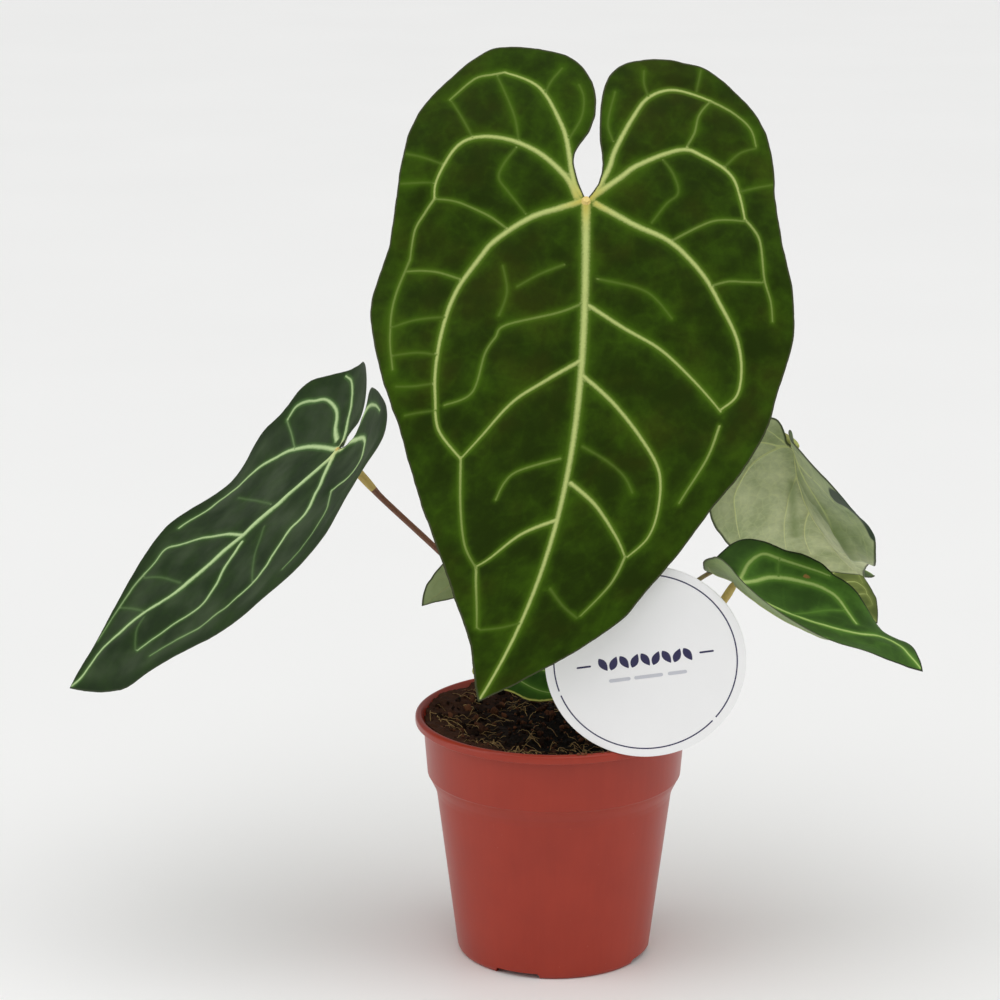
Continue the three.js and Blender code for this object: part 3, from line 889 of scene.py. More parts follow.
RIGHT_EDGE: Pairs = (
    (0, 0), (-10, 4), (-20, 5), (-32, -2), (-42, -4), (-53, -2), (-63, 5), (-68, 18), (-70, 32),
    (-69, 40), (-65, 47), (-57, 56), (-44, 68), (-28, 75), (-3, 79), (17, 82), (40, 89), (57, 87),
    (76, 81), (93, 73), (113, 64), (131, 54), (149, 42), (167, 29), (182, 17), (197, 7), (206, 0),
)
LEFT_EDGE: Pairs = (
    (0, 0), (-7, 5), (-16, 7), (-26, 6), (-36, 6), (-47, 7), (-56, 10), (-62, 18), (-64, 30),
    (-63, 40), (-60, 51), (-49, 64), (-38, 73), (-22, 78), (-3, 79), (17, 82), (36, 86), (57, 87),
    (78, 82), (94, 79), (112, 71), (127, 62), (146, 53), (160, 46), (173, 40), (185, 28),
    (197, 13), (206, 0),
)
RIGHT_VEINS: Sequence[Vein] = (
    Vein(Rank.PRIMARY, ((0, 2), (3, 11), (7, 23), (16, 37), (24, 44), (37, 53), (52, 58), (69, 60),
                        (82, 59), (95, 56), (107, 45))),
    Vein(Rank.PRIMARY, ((-3, 2), (-8, 5), (-26, 8), (-35, 11), (-47, 17), (-53, 23), (-58, 34))),
    Vein(Rank.COLLECTIVE, ((-58, 34), (-57, 39), (-55, 47), (-46, 57))),
    Vein(Rank.FAINT, ((-27, 7), (-36, 2), (-45, 1), (-51, 3))),
    Vein(Rank.PRIMARY, ((-2, 4), (-10, 8), (-19, 17), (-25, 27), (-28, 37), (-28, 47), (-23, 55),
                        (-10, 62), (-2, 63))),
    Vein(Rank.COLLECTIVE, ((-2, 63), (4, 67), (11, 71), (23, 73))),
    Vein(Rank.CROSS, ((23, 73), (36, 78), (45, 80), (58, 80), (70, 78))),
    Vein(Rank.CROSS, ((11, 33), (6, 40), (1, 50), (-1, 56), (-2, 63))),
    Vein(Rank.FAINT, ((-28, 47), (-36, 51), (-45, 56))),
    Vein(Rank.FAINT, ((-27, 28), (-38, 30), (-56, 37))),
    Vein(Rank.FAINT, ((-47, 17), (-52, 15), (-59, 10))),
    Vein(Rank.FAINT, ((-23, 29), (-16, 34), (-10, 36), (-4, 32), (5, 25))),
    Vein(Rank.FAINT, ((-9, 77), (-9, 69), (-9, 63))),
    Vein(Rank.FAINT, ((-22, 75), (-20, 68), (-17, 60))),
    Vein(Rank.CROSS, ((32, 52), (29, 61), (28, 68), (28, 74))),
    Vein(Rank.FAINT, ((48, 57), (49, 69), (52, 80))),
    Vein(Rank.FAINT, ((64, 60), (63, 68), (64, 78))),
    Vein(Rank.FAINT, ((76, 61), (77, 68), (77, 76))),
    Vein(Rank.FAINT, ((87, 58), (88, 66), (89, 71))),
    Vein(Rank.COLLECTIVE, ((107, 45), (126, 41), (142, 35), (152, 27))),
    Vein(Rank.COLLECTIVE, ((152, 27), (160, 24), (176, 17))),
    Vein(Rank.CROSS, ((43, 1), (47, 11), (52, 32), (57, 36), (64, 40), (80, 44), (85, 55))),
    Vein(Rank.LATERAL, ((67, 1), (75, 14), (84, 27), (98, 38), (107, 45))),
    Vein(Rank.CROSS, ((107, 4), (112, 20), (117, 25), (124, 27))),
    Vein(Rank.LATERAL, ((132, 0), (138, 13), (148, 23), (151, 27))),
    Vein(Rank.FAINT, ((174, 0), (176, 7), (177, 15))),
    Vein(Rank.FAINT, ((27, 9), (31, 19), (36, 28))),
    Vein(Rank.FAINT, ((48, 35), (38, 32), (27, 34))),
)
LEFT_VEINS: Sequence[Vein] = (
    Vein(Rank.PRIMARY, ((1, 4), (10, 20), (17, 35), (30, 48), (43, 56), (56, 63), (69, 66), (80, 65),
                        (86, 59))),
    Vein(Rank.PRIMARY, ((-1, 2), (-13, 9), (-22, 12), (-36, 19), (-46, 26), (-50, 37), (-46, 52))),
    Vein(Rank.COLLECTIVE, ((-46, 52), (-40, 63), (-34, 69), (-27, 71))),
    Vein(Rank.FAINT, ((-26, 11), (-34, 9), (-48, 12))),
    Vein(Rank.FAINT, ((-46, 26), (-52, 24), (-58, 24))),
    Vein(Rank.FAINT, ((-50, 46), (-55, 47), (-60, 48))),
    Vein(Rank.CROSS, ((-25, 42), (-31, 45), (-39, 47), (-46, 52))),
    Vein(Rank.PRIMARY, ((-2, 3), (-10, 14), (-16, 22), (-23, 39), (-21, 48), (-12, 61), (6, 66))),
    Vein(Rank.FAINT, ((-17, 58), (-23, 64), (-26, 71))),
    Vein(Rank.FAINT, ((-18, 32), (-12, 36), (-4, 38), (1, 33), (9, 27))),
    Vein(Rank.FAINT, ((-6, 64), (-8, 71), (-10, 78))),
    Vein(Rank.COLLECTIVE, ((6, 66), (15, 72), (31, 74), (41, 77), (49, 78))),
    Vein(Rank.CROSS, ((16, 36), (9, 49), (7, 56), (7, 67))),
    Vein(Rank.CROSS, ((35, 52), (33, 59), (33, 66), (33, 73))),
    Vein(Rank.LATERAL, ((44, 2), (53, 16), (62, 32), (75, 47), (87, 59))),
    Vein(Rank.COLLECTIVE, ((93, 59), (106, 56), (120, 50), (125, 48))),
    Vein(Rank.LATERAL, ((73, 1), (84, 14), (98, 27), (112, 37), (127, 40), (139, 39), (147, 33))),
    Vein(Rank.LATERAL, ((117, 2), (126, 14), (139, 26), (147, 32))),
    Vein(Rank.COLLECTIVE, ((147, 32), (158, 30), (171, 23))),
    Vein(Rank.FAINT, ((160, 6), (167, 14), (172, 22))),
    Vein(Rank.FAINT, ((102, 4), (108, 15), (114, 23), (121, 28))),
    Vein(Rank.FAINT, ((33, 6), (38, 25), (49, 36))),
)
STRAIGHT_MIDRIB: Pairs = ((0, 0), (60, 0), (130, 0), (205, 0))


@dataclass(frozen=True)
class Half:
    """One half of a blade: its outline's scale, how it is set, and its veins.

    width and lobe are shares of the outline's width and lobe length. fold and curl are degrees,
    and waves lift the margin at even steps from the lobe to the tip.
    """

    width: float
    lobe: float
    fold: float
    curl: float
    waves: Sequence[float]
    edge: Pairs
    veins: Sequence[Vein]


class Scatter:
    """Flat points that keep a distance from each other."""

    CELL = 2.0

    def __init__(self) -> None:
        """Starts with no points."""
        self.points: list[Pair] = []
        self.grid: dict[tuple[int, int], list[Pair]] = {}

    def add(self, points: Array, spacing: float) -> None:
        """Adds the points that keep their distance.

        Args:
            points: Points to add, the first ones first.
            spacing: Least distance to any other.
        """
        limit = spacing * spacing
        for x, y in points.tolist():
            column, row = int(x // self.CELL), int(y // self.CELL)
            near = (
                other
                for i in (column - 1, column, column + 1)
                for j in (row - 1, row, row + 1)
                for other in self.grid.get((i, j), ())
            )
            if all((x - a) ** 2 + (y - b) ** 2 >= limit for a, b in near):
                self.points.append((x, y))
                self.grid.setdefault((column, row), []).append((x, y))


@dataclass
class Blade:
    """A heart-shaped blade: a thin closed sheet with veins, puffed up between them.

    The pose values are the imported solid's own. A flat point of the blade is [x, y], where y runs
    along the midrib from the junction to the tip and x is positive in the right half. marks are
    dry spots as [x, y, radius] on the outline's scale.
    """

    name: str
    junction: Triple
    length: float
    heading: float
    dip: float
    roll: float
    right: Half
    left: Half
    top: LeafTop
    under: LeafUnder
    bend: float = 0.0
    lobe_bend: float = 0.0
    twist: float = 0.0
    sway: float = 0.0
    bow: float = 0.0
    fade: float = 0.0
    midrib: Pairs = STRAIGHT_MIDRIB
    marks: Sequence[Triple] = ()
    strokes: Sequence[Stroke] = ()
    vein_width: float = 1.0
    spacing: float = 2.1
    relief: float = 1.0
    thickness: float = 0.55
    seed: float = 1.0

    HALF_WIDTH_SHARE = 0.42
    LOBE_SHARE = 0.33
    WAVE_START = -0.3
    WAVE_STEP = 0.22
    MARGIN_STEP = 1.0
    VEIN_STEP = 1.1
    STROKE_STEP = 1.5
    FAR_GAP = 8.0
    FAR_RIM = 14.0
    BEND_STEPS = 10

    @property
    def scale(self) -> float:
        """The blade's length as a share of the outline's."""
        return self.length / OUTLINE_LENGTH

    def half(self, side: Side) -> Half:
        """The half on one side."""
        return self.right if side is Side.RIGHT else self.left

    def flat(self, side: Side, points: Pairs) -> Array:
        """Outline points of a half as flat points of this blade."""
        half = self.half(side)
        along, across = np.array(points, float).T
        lobe = np.where(along < 0, half.lobe, 1.0)
        return self.scale * np.stack([side.value * half.width * across, lobe * along], axis=1)

    def is_right(self, x: Array, y: Array) -> Array:
        """Whether flat points belong to the right half. Above the junction the sinus parts them."""
        size = self.scale
        return x > -5 * size * np.clip(-y / (10 * size), 0, 1)

    def waves(self, side: Side, share: Array) -> Array:
        """The lift of a half's margin at shares of the length.

        Args:
            side: The half.
            share: Shares of the blade's length.

        Returns:
            The lift at each share.
        """
        values = np.array(self.half(side).waves, float)
        last = len(values) - 1
        place = np.clip((share - self.WAVE_START) / self.WAVE_STEP, 0, last)
        index = np.minimum(place.astype(int), last - 1)
        t = place - index
        a, b, c, d = (values[np.clip(index + shift, 0, last)] for shift in (-1, 0, 1, 2))
        bends = (2 * a - 5 * b + 4 * c - d) * t**2 + (3 * b - a - 3 * c + d) * t**3
        return 0.5 * (2 * b + (c - a) * t + bends)

    def axes(self) -> tuple[Array, Array, Array]:
        """The blade's axes at its junction: along the midrib, across to the right, and up."""
        heading, dip, roll = (math.radians(angle) for angle in (self.heading, self.dip, self.roll))
        along = np.array([
            math.cos(dip) * math.cos(heading), math.cos(dip) * math.sin(heading), -math.sin(dip),
        ])
        level = np.array([math.sin(heading), -math.cos(heading), 0.0])
        up = np.cross(level, along)
        across = math.cos(roll) * level + math.sin(roll) * up
        return along, across, math.cos(roll) * up - math.sin(roll) * level

    def on_side(self, side: Side, x: Array, y: Array) -> Array:
        """Where flat points lie in space by the shape of one half.

        Args:
            side: The half whose fold, curl and waves count.
            x: Places across the blade.
            y: Places along it.

        Returns:
            n x 3 array of points of the blade's middle surface.
        """
        half = self.half(side)
        along, across, up = self.axes()
        share = np.clip(y / self.length, 0, 1)
        reach = self.HALF_WIDTH_SHARE * self.length
        lobe_rate = math.radians(self.lobe_bend) / (self.LOBE_SHARE * self.length)
        rate = np.where(y >= 0, math.radians(self.bend) / self.length, lobe_rate)
        rate = np.where(abs(rate) < 1e-9, 1e-9, rate)
        angle = rate * y
        spine = (
            np.array(self.junction)
            + (np.sin(angle) / rate)[:, None] * along
            - ((1 - np.cos(angle)) / rate)[:, None] * up
        )
        lifted = np.sin(angle)[:, None] * along + np.cos(angle)[:, None] * up
        turn = (math.radians(self.twist) * y / self.length)[:, None]
        sideways = across * np.cos(turn) + lifted * np.sin(turn)
        normal = lifted * np.cos(turn) - across * np.sin(turn)
        fold = math.radians(half.fold)
        curl = math.radians(half.curl) * (1 - self.fade * share**2)
        width = side.value * x
        out = np.zeros(len(x))
        lift = self.waves(side, y / self.length) * (width / reach) ** 2
        for i in range(self.BEND_STEPS):
            slope = fold + curl * width * (i + 0.5) / self.BEND_STEPS / reach
            out += np.cos(slope) * width / self.BEND_STEPS
            lift += np.sin(slope) * width / self.BEND_STEPS
        shift = self.sway * share**3 + 4 * self.bow * share * (1 - share)
        return spine + (side.value * out + shift)[:, None] * sideways + lift[:, None] * normal

    def side_normals(self, side: Side, x: Array, y: Array) -> Array:
        """Upward normals at flat points by the shape of one half."""
        step = 0.4
        across = self.on_side(side, x + step, y) - self.on_side(side, x - step, y)
        along = self.on_side(side, x, y + step) - self.on_side(side, x, y - step)
        return unit(np.cross(across, along))

    def middle(self, x: Array, y: Array) -> tuple[Array, Array]:
        """Points and normals of the middle surface, with the halves' normals blended at the midrib."""
        right = self.is_right(x, y)[:, None]
        points = np.where(right, self.on_side(Side.RIGHT, x, y), self.on_side(Side.LEFT, x, y))
        own, other = self.side_normals(Side.RIGHT, x, y), self.side_normals(Side.LEFT, x, y)
        own, other = np.where(right, own, other), np.where(right, other, own)
        share = 0.5 + 0.5 * smoothstep(0, 3 * self.scale, np.hypot(x, np.minimum(y, 0)))
        return points, unit(share[:, None] * own + (1 - share[:, None]) * other)

    def margin(self) -> Array:
        """The blade's outline as a loop of flat points, with slightly uneven edges."""
        sides = []
        for side in (Side.LEFT, Side.RIGHT):
            edge = resample(spline(self.flat(side, self.half(side).edge)), self.MARGIN_STEP)
            run = lengths(edge)
            calm = smoothstep(0, 8, run) * smoothstep(0, 8, run[-1] - run)
            uneven = 0.3 * grain(edge, 7, self.seed) + 0.15 * grain(edge, 2.5, self.seed + 5)
            edge += (calm * uneven)[:, None] * crosswise(edge)
            sides.append(edge)
        left, right = sides
        return np.concatenate([left[::-1][:-1], right[:-1]])

    def vein_lines(self) -> list[VeinLine]:
        """The blade's veins, laid out flat."""
        size = self.vein_width * self.scale**0.7
        midrib = self.scale * np.array(self.midrib, float)[:, ::-1]
        paths = [(Rank.MIDRIB, midrib)]
        for side in Side:
            paths += [(vein.rank, self.flat(side, vein.points)) for vein in self.half(side).veins]
        lines = []
        for rank, points in paths:
            line = resample(spline(points), self.VEIN_STEP)
            share = np.linspace(0, 1, len(line))
            grade = rank.value
            half_width = size * (grade.start + (grade.end - grade.start) * share)
            tone = grade.tone + (grade.fade - grade.tone) * share
            lines.append(VeinLine(line, half_width, tone, grade))
        return lines

    def scatter(self, margin: Array, veins: Sequence[VeinLine]) -> Array:
        """Flat points for the mesh: the margin, rows beside it, rows along the veins, and a field.

        Args:
            margin: The outline.
            veins: The veins.

        Returns:
            The points, which start with the margin's own.
        """
        points = Scatter()
        points.add(margin, 0)
        inward = -crosswise(margin)
        rows = [margin + 0.5 * inward, margin + 1.4 * inward]
        shares = (0, -0.55, 0.55, -1.1, 1.1)
        rows += [
            vein.line + (share * vein.half_width)[:, None] * crosswise(vein.line)
            for share in shares
            for vein in veins
        ]
        beside = [
            vein.line + (way * (1.1 * vein.half_width + gap))[:, None] * crosswise(vein.line)
            for gap in (0.7, 1.9)
            for way in (-1, 1)
            for vein in veins
        ]
        low, high = margin.min(0), margin.max(0)
        columns = np.arange(low[0], high[0], self.spacing)
        lines = np.arange(low[1], high[1], 0.87 * self.spacing)
        x, y = np.meshgrid(columns, lines)
        x += np.where(np.arange(len(lines)) % 2, 0.5 * self.spacing, 0)[:, None]
        rng = np.random.default_rng(round(10 * self.seed))
        jitter = rng.uniform(-0.2, 0.2, (x.size, 2)) * self.spacing
        meadow = np.column_stack([x.ravel(), y.ravel()]) + jitter
        for group, spacing, clear in (
            (rows[:2], 0.4, 0.35),
            (rows[2:], 0.28, 0.45),
            (beside, 0.65, 0.6),
            ([meadow], 0.6 * self.spacing, 0.8),
        ):
            flat = np.concatenate(group)
            gap, _ = nearest_on_line(flat, np.concatenate([margin, margin[:1]]), 3.0)
            points.add(flat[(gap > clear) & is_inside(flat, margin)], spacing)
        return np.array(points.points)

    def triangulated(
        self, margin: Array, veins: Sequence[VeinLine]
    ) -> tuple[Array, list[tuple[int, ...]]]:
        """Flat points inside the margin, and the triangles between them.

        Args:
            margin: The outline.
            veins: The veins.

        Returns:
            The points and the triangles.
        """
        flat = self.scatter(margin, veins)
        loop = list(range(len(margin)))
        edges = list(zip(loop, loop[1:] + loop[:1]))
        made = delaunay_2d_cdt([Vector(point) for point in flat.tolist()], edges, [loop], 1, 1e-5)
        return np.array([tuple(point) for point in made[0]]), [tuple(face) for face in made[2]]

    def vein_field(self, flat: Array, veins: Sequence[VeinLine]) -> VeinField:
        """What the veins do at flat points.

        Args:
            flat: The points.
            veins: The veins.

        Returns:
            Their paleness, glow and relief.
        """
        gap, tone, halo = (np.full(len(flat), start) for start in (self.FAR_GAP, 0.0, 0.0))
        dome, ridge, rib = (np.full(len(flat), start) for start in (1.0, 0.0, 0.0))
        for vein in veins:
            distance, place = nearest_on_line(flat, vein.line, self.FAR_RIM)
            spots = np.arange(len(vein.line))
            half_width = np.interp(place, spots, vein.half_width)
            strength = np.interp(place, spots, vein.tone)
            grade = vein.grade
            shares = distance / half_width
            closer = shares < gap
            gap = np.where(closer, shares, gap)
            tone = np.where(closer, strength, tone)
            shine = np.exp(-((distance / (1.2 + 2.4 * half_width)) ** 2))
            halo = np.maximum(halo, grade.glow * shine)
            hold = np.exp(-((distance / (2.2 + 3.5 * half_width)) ** 2))
            dome *= 1 - hold * min(grade.groove, 1.3) / 2
            swell = np.exp(-(shares**2))
            taper = half_width / (grade.start * self.vein_width * self.scale**0.7)
            ridge = np.maximum(ridge, 0.35 * grade.groove * swell * taper)
            rib = np.maximum(rib, grade.rib * swell * taper)
        return VeinField(gap, tone, halo, dome, ridge, rib)

    def dryness(self, flat: Array) -> Array:
        """How strongly the dry spots show at flat points."""
        mark = np.zeros(len(flat))
        for centre_x, centre_y, radius in self.scale * np.array(self.marks, float).reshape(-1, 3):
            away = np.hypot(flat[:, 0] - centre_x, flat[:, 1] - centre_y)
            mark = np.maximum(mark, np.exp(-((away / radius) ** 2)))
        return mark

    def stroke_field(self, flat: Array) -> tuple[Array, Array, Array]:
        """What the strokes do at flat points.

        Args:
            flat: The points.

        Returns:
            The strength of painted fold shade, that of hems, and the depth.
        """
        dark_tone_and_fold_shade, hem, sunk = (np.zeros(len(flat)) for _ in range(3))
        for stroke in self.strokes:
            line = resample(spline(self.flat(stroke.side, stroke.points)), self.STROKE_STEP)
            away, _ = nearest_on_line(flat, line, 4 * stroke.reach)
            share = np.exp(-((away / (self.scale * stroke.reach)) ** 2))
            sunk = np.maximum(sunk, stroke.depth * share)
            if stroke.hem:
                hem = np.maximum(hem, share)
            else:
                # A fold marks where painted shade darkens the underside
                dark_tone_and_fold_shade = np.maximum(dark_tone_and_fold_shade, share)
        return dark_tone_and_fold_shade, hem, sunk

    def form(self) -> tuple[Form, Array]:
        """Builds the closed sheet.

        Returns:
            The form, and for each face 0 for the upper and 1 for the lower material.
        """
        margin = self.margin()
        veins = self.vein_lines()
        flat, faces = self.triangulated(margin, veins)
        x, y = flat.T
        veined = self.vein_field(flat, veins)
        dark_tone_and_fold_shade, hem, sunk = self.stroke_field(flat)
        rim, _ = nearest_on_line(flat, np.concatenate([margin, margin[:1]]), self.FAR_RIM)
        rim = np.minimum(rim, self.FAR_RIM)
        inland = smoothstep(0, 6, rim)
        puff = 0.35 * grain(flat, 9, self.seed + 9) + 0.12 * grain(flat, 3.5, self.seed + 3)
        sheet = self.relief * (1.3 * (veined.dome - 0.7) + puff) * inland
        sheet -= sunk * inland
        points, normals = self.middle(x, y)
        half = 0.5 * self.thickness * (0.6 + 0.4 * smoothstep(0, 3, rim))
        upper = points + (sheet + half + self.relief * veined.ridge)[:, None] * normals
        lower = points + (sheet - half - self.relief * veined.rib)[:, None] * normals
        return self.closed(upper, lower, faces, {
            "leaf_at": np.column_stack([flat * METRES, np.full(len(flat), self.seed)]),
            "vein_gap": np.minimum(veined.gap, self.FAR_GAP),
            "vein_tone": veined.tone,
            "halo": veined.halo,
            "rim_gap": rim,
            "heart": np.exp(-((np.hypot(x, y) / (8 * self.scale)) ** 2)),
            "mark": self.dryness(flat),
            "dark_tone_and_fold_shade": dark_tone_and_fold_shade,
            "hem": hem,
        })

    def closed(
        self,
        upper: Array,
        lower: Array,
        faces: Sequence[tuple[int, ...]],
        values: Mapping[str, Array],
    ) -> tuple[Form, Array]:
        """Joins the two faces of the sheet with a rounded rim.

        Args:
            upper: Points of the upper face.
            lower: Points of the lower face.
            faces: The triangles of both.
            values: Values at the points.

        Returns:
            The form and the material of each face.
        """
        count = len(upper)
        open_edges = {}
        for face in faces:
            for start, end in zip(face, face[1:] + face[:1]):
                if open_edges.pop((end, start), None) is None:
                    open_edges[(start, end)] = face
        rim = sorted({start for start, _ in open_edges})
        number = {index: 2 * count + i for i, index in enumerate(rim)}
        outward = np.zeros((count, 3))
        centre = 0.5 * (upper + lower)
        for start, end in open_edges:
            way = np.cross(centre[end] - centre[start], upper[start] - lower[start])
            for index in (start, end):
                outward[index] += unit(way)
        lip = centre[rim] + 0.45 * self.thickness * unit(outward[rim])
        all_faces = list(faces) + [tuple(index + count for index in face[::-1]) for face in faces]
        skin = [0] * len(faces) + [1] * len(faces)
        for start, end in open_edges:
            edge = (number[start], number[end])
            all_faces.append((end, start, *edge))
            all_faces.append((*edge[::-1], start + count, end + count))
            skin += [0, 1]
        stacked = {
            key: np.concatenate([value, value, value[rim]]) for key, value in values.items()
        }
        return Form(np.concatenate([upper, lower, lip]), all_faces, stacked), np.array(skin)

    def build(self) -> None:
        """Builds the blade in place of its CAD node."""
        form, skin = self.form()
        add_piece(
            f"leaf_{self.name}", form, [self.top.material(), self.under.material()],
            [f"blade_{self.name}"], skin, 70.0,
        )


@dataclass
class Stalk:
    """A leaf's petiole and its geniculum, the swollen joint under the blade.

    The joint runs from the blade to joint_end, and the petiole goes on from there along path to
    its hole in the crown, which lies in the direction of socket, in degrees.
    """

    joint_end: Triple
    joint_radius: float
    path: Sequence[Triple]
    socket: float
    radius: float
    skin: Stem
    joint_skin: Stem

    SOCKET_RING_RADIUS = 6.2
    SOCKET_DEPTH = 20.0
    BLADE_HALF = 0.4
    JOINT_SIDES = 28
    JOINT_RINGS = 30
    JOINT_KNOTS = (0, 0.08, 0.25, 0.5, 0.78, 1)
    JOINT_SWELL = (0.45, 0.72, 0.98, 1.06, 1.0, 0.86)
    SIDES = 20
    STEP = 1.6

    def joint_start(self, blade: Blade) -> tuple[Array, Array]:
        """Where the geniculum starts.

        Args:
            blade: The blade.

        Returns:
            Its first point, and the direction to its end.
        """
        _, _, normal = blade.axes()
        junction = np.array(blade.junction)
        end = np.array(self.joint_end)
        direction = unit(end - junction)
        facing = np.sign(direction @ normal)
        tilt = math.sqrt(1 - (direction @ normal) ** 2)
        start = (
            junction
            + facing * (self.BLADE_HALF + SEAT_GAP) * normal
            + self.joint_radius * tilt * direction
        )
        return start, unit(end - start)

    def build_joint(self, blade: Blade) -> None:
        """Builds the geniculum, a spindle with fine creases across it.

        Args:
            blade: The blade that it holds.
        """
        start, direction = self.joint_start(blade)
        end = np.array(self.joint_end)
        share = np.linspace(0, 1, self.JOINT_RINGS)
        reach = 0.9 * self.joint_radius
        path = (start - reach * direction)[None] + share[:, None] * (end - start + reach * direction)
        swell = np.interp(share, self.JOINT_KNOTS, self.JOINT_SWELL)
        angle = full_turn(self.JOINT_SIDES)
        around = np.array([
            [6 * s, math.cos(a) + blade.seed, math.sin(a)] for s in share for a in angle
        ])
        creases = 0.03 * grain(around, 0.55, blade.seed).reshape(len(share), self.JOINT_SIDES)
        form = sweep(path, self.joint_radius * (swell[:, None] + creases), self.JOINT_SIDES)
        add_piece(
            f"joint_{blade.name}", form, [self.joint_skin.material()],
            [f"geniculum_{blade.name}"],
        )

    def build_petiole(self, blade: Blade) -> None:
        """Builds the petiole, ribbed along its length and wider at both ends.

        Args:
            blade: The blade that it holds.
        """
        _, direction = self.joint_start(blade)
        end = np.array(self.joint_end)
        foot = CROWN_CENTRE + self.SOCKET_RING_RADIUS * compass(math.radians(self.socket))
        knots = [
            end - 0.2 * direction,
            end + 3 * self.radius * direction,
            *(np.array(point, float) for point in self.path),
            np.array([*foot, CROWN_TOP - 1]),
            np.array([*foot, CROWN_TOP - self.SOCKET_DEPTH]),
        ]
        path = resample(centripetal(knots), self.STEP)
        run = lengths(path)
        turn = full_turn(self.SIDES)
        swell = 1 + 0.22 * np.exp(-run / 4) + 0.55 * smoothstep(34, 12, run[-1] - run)
        sway = 0.035 * grain(np.column_stack([run, run * 0]), 9, blade.seed)
        ribs = 0.025 * np.cos(7 * turn) + 0.015 * np.cos(11 * turn + blade.seed)
        form = sweep(path, self.radius * ((swell + sway)[:, None] + ribs[None, :]), self.SIDES)
        add_piece(
            f"stalk_{blade.name}", form, [self.skin.material()],
            [f"petiole_{blade.name}"],
        )


@dataclass
class Leaf:
    """A blade on its stalk."""

    blade: Blade
    stalk: Stalk

    def build(self) -> None:
        """Builds the blade, geniculum and petiole."""
        self.blade.build()
        self.stalk.build_joint(self.blade)
        self.stalk.build_petiole(self.blade)


# Pot, soil and crown


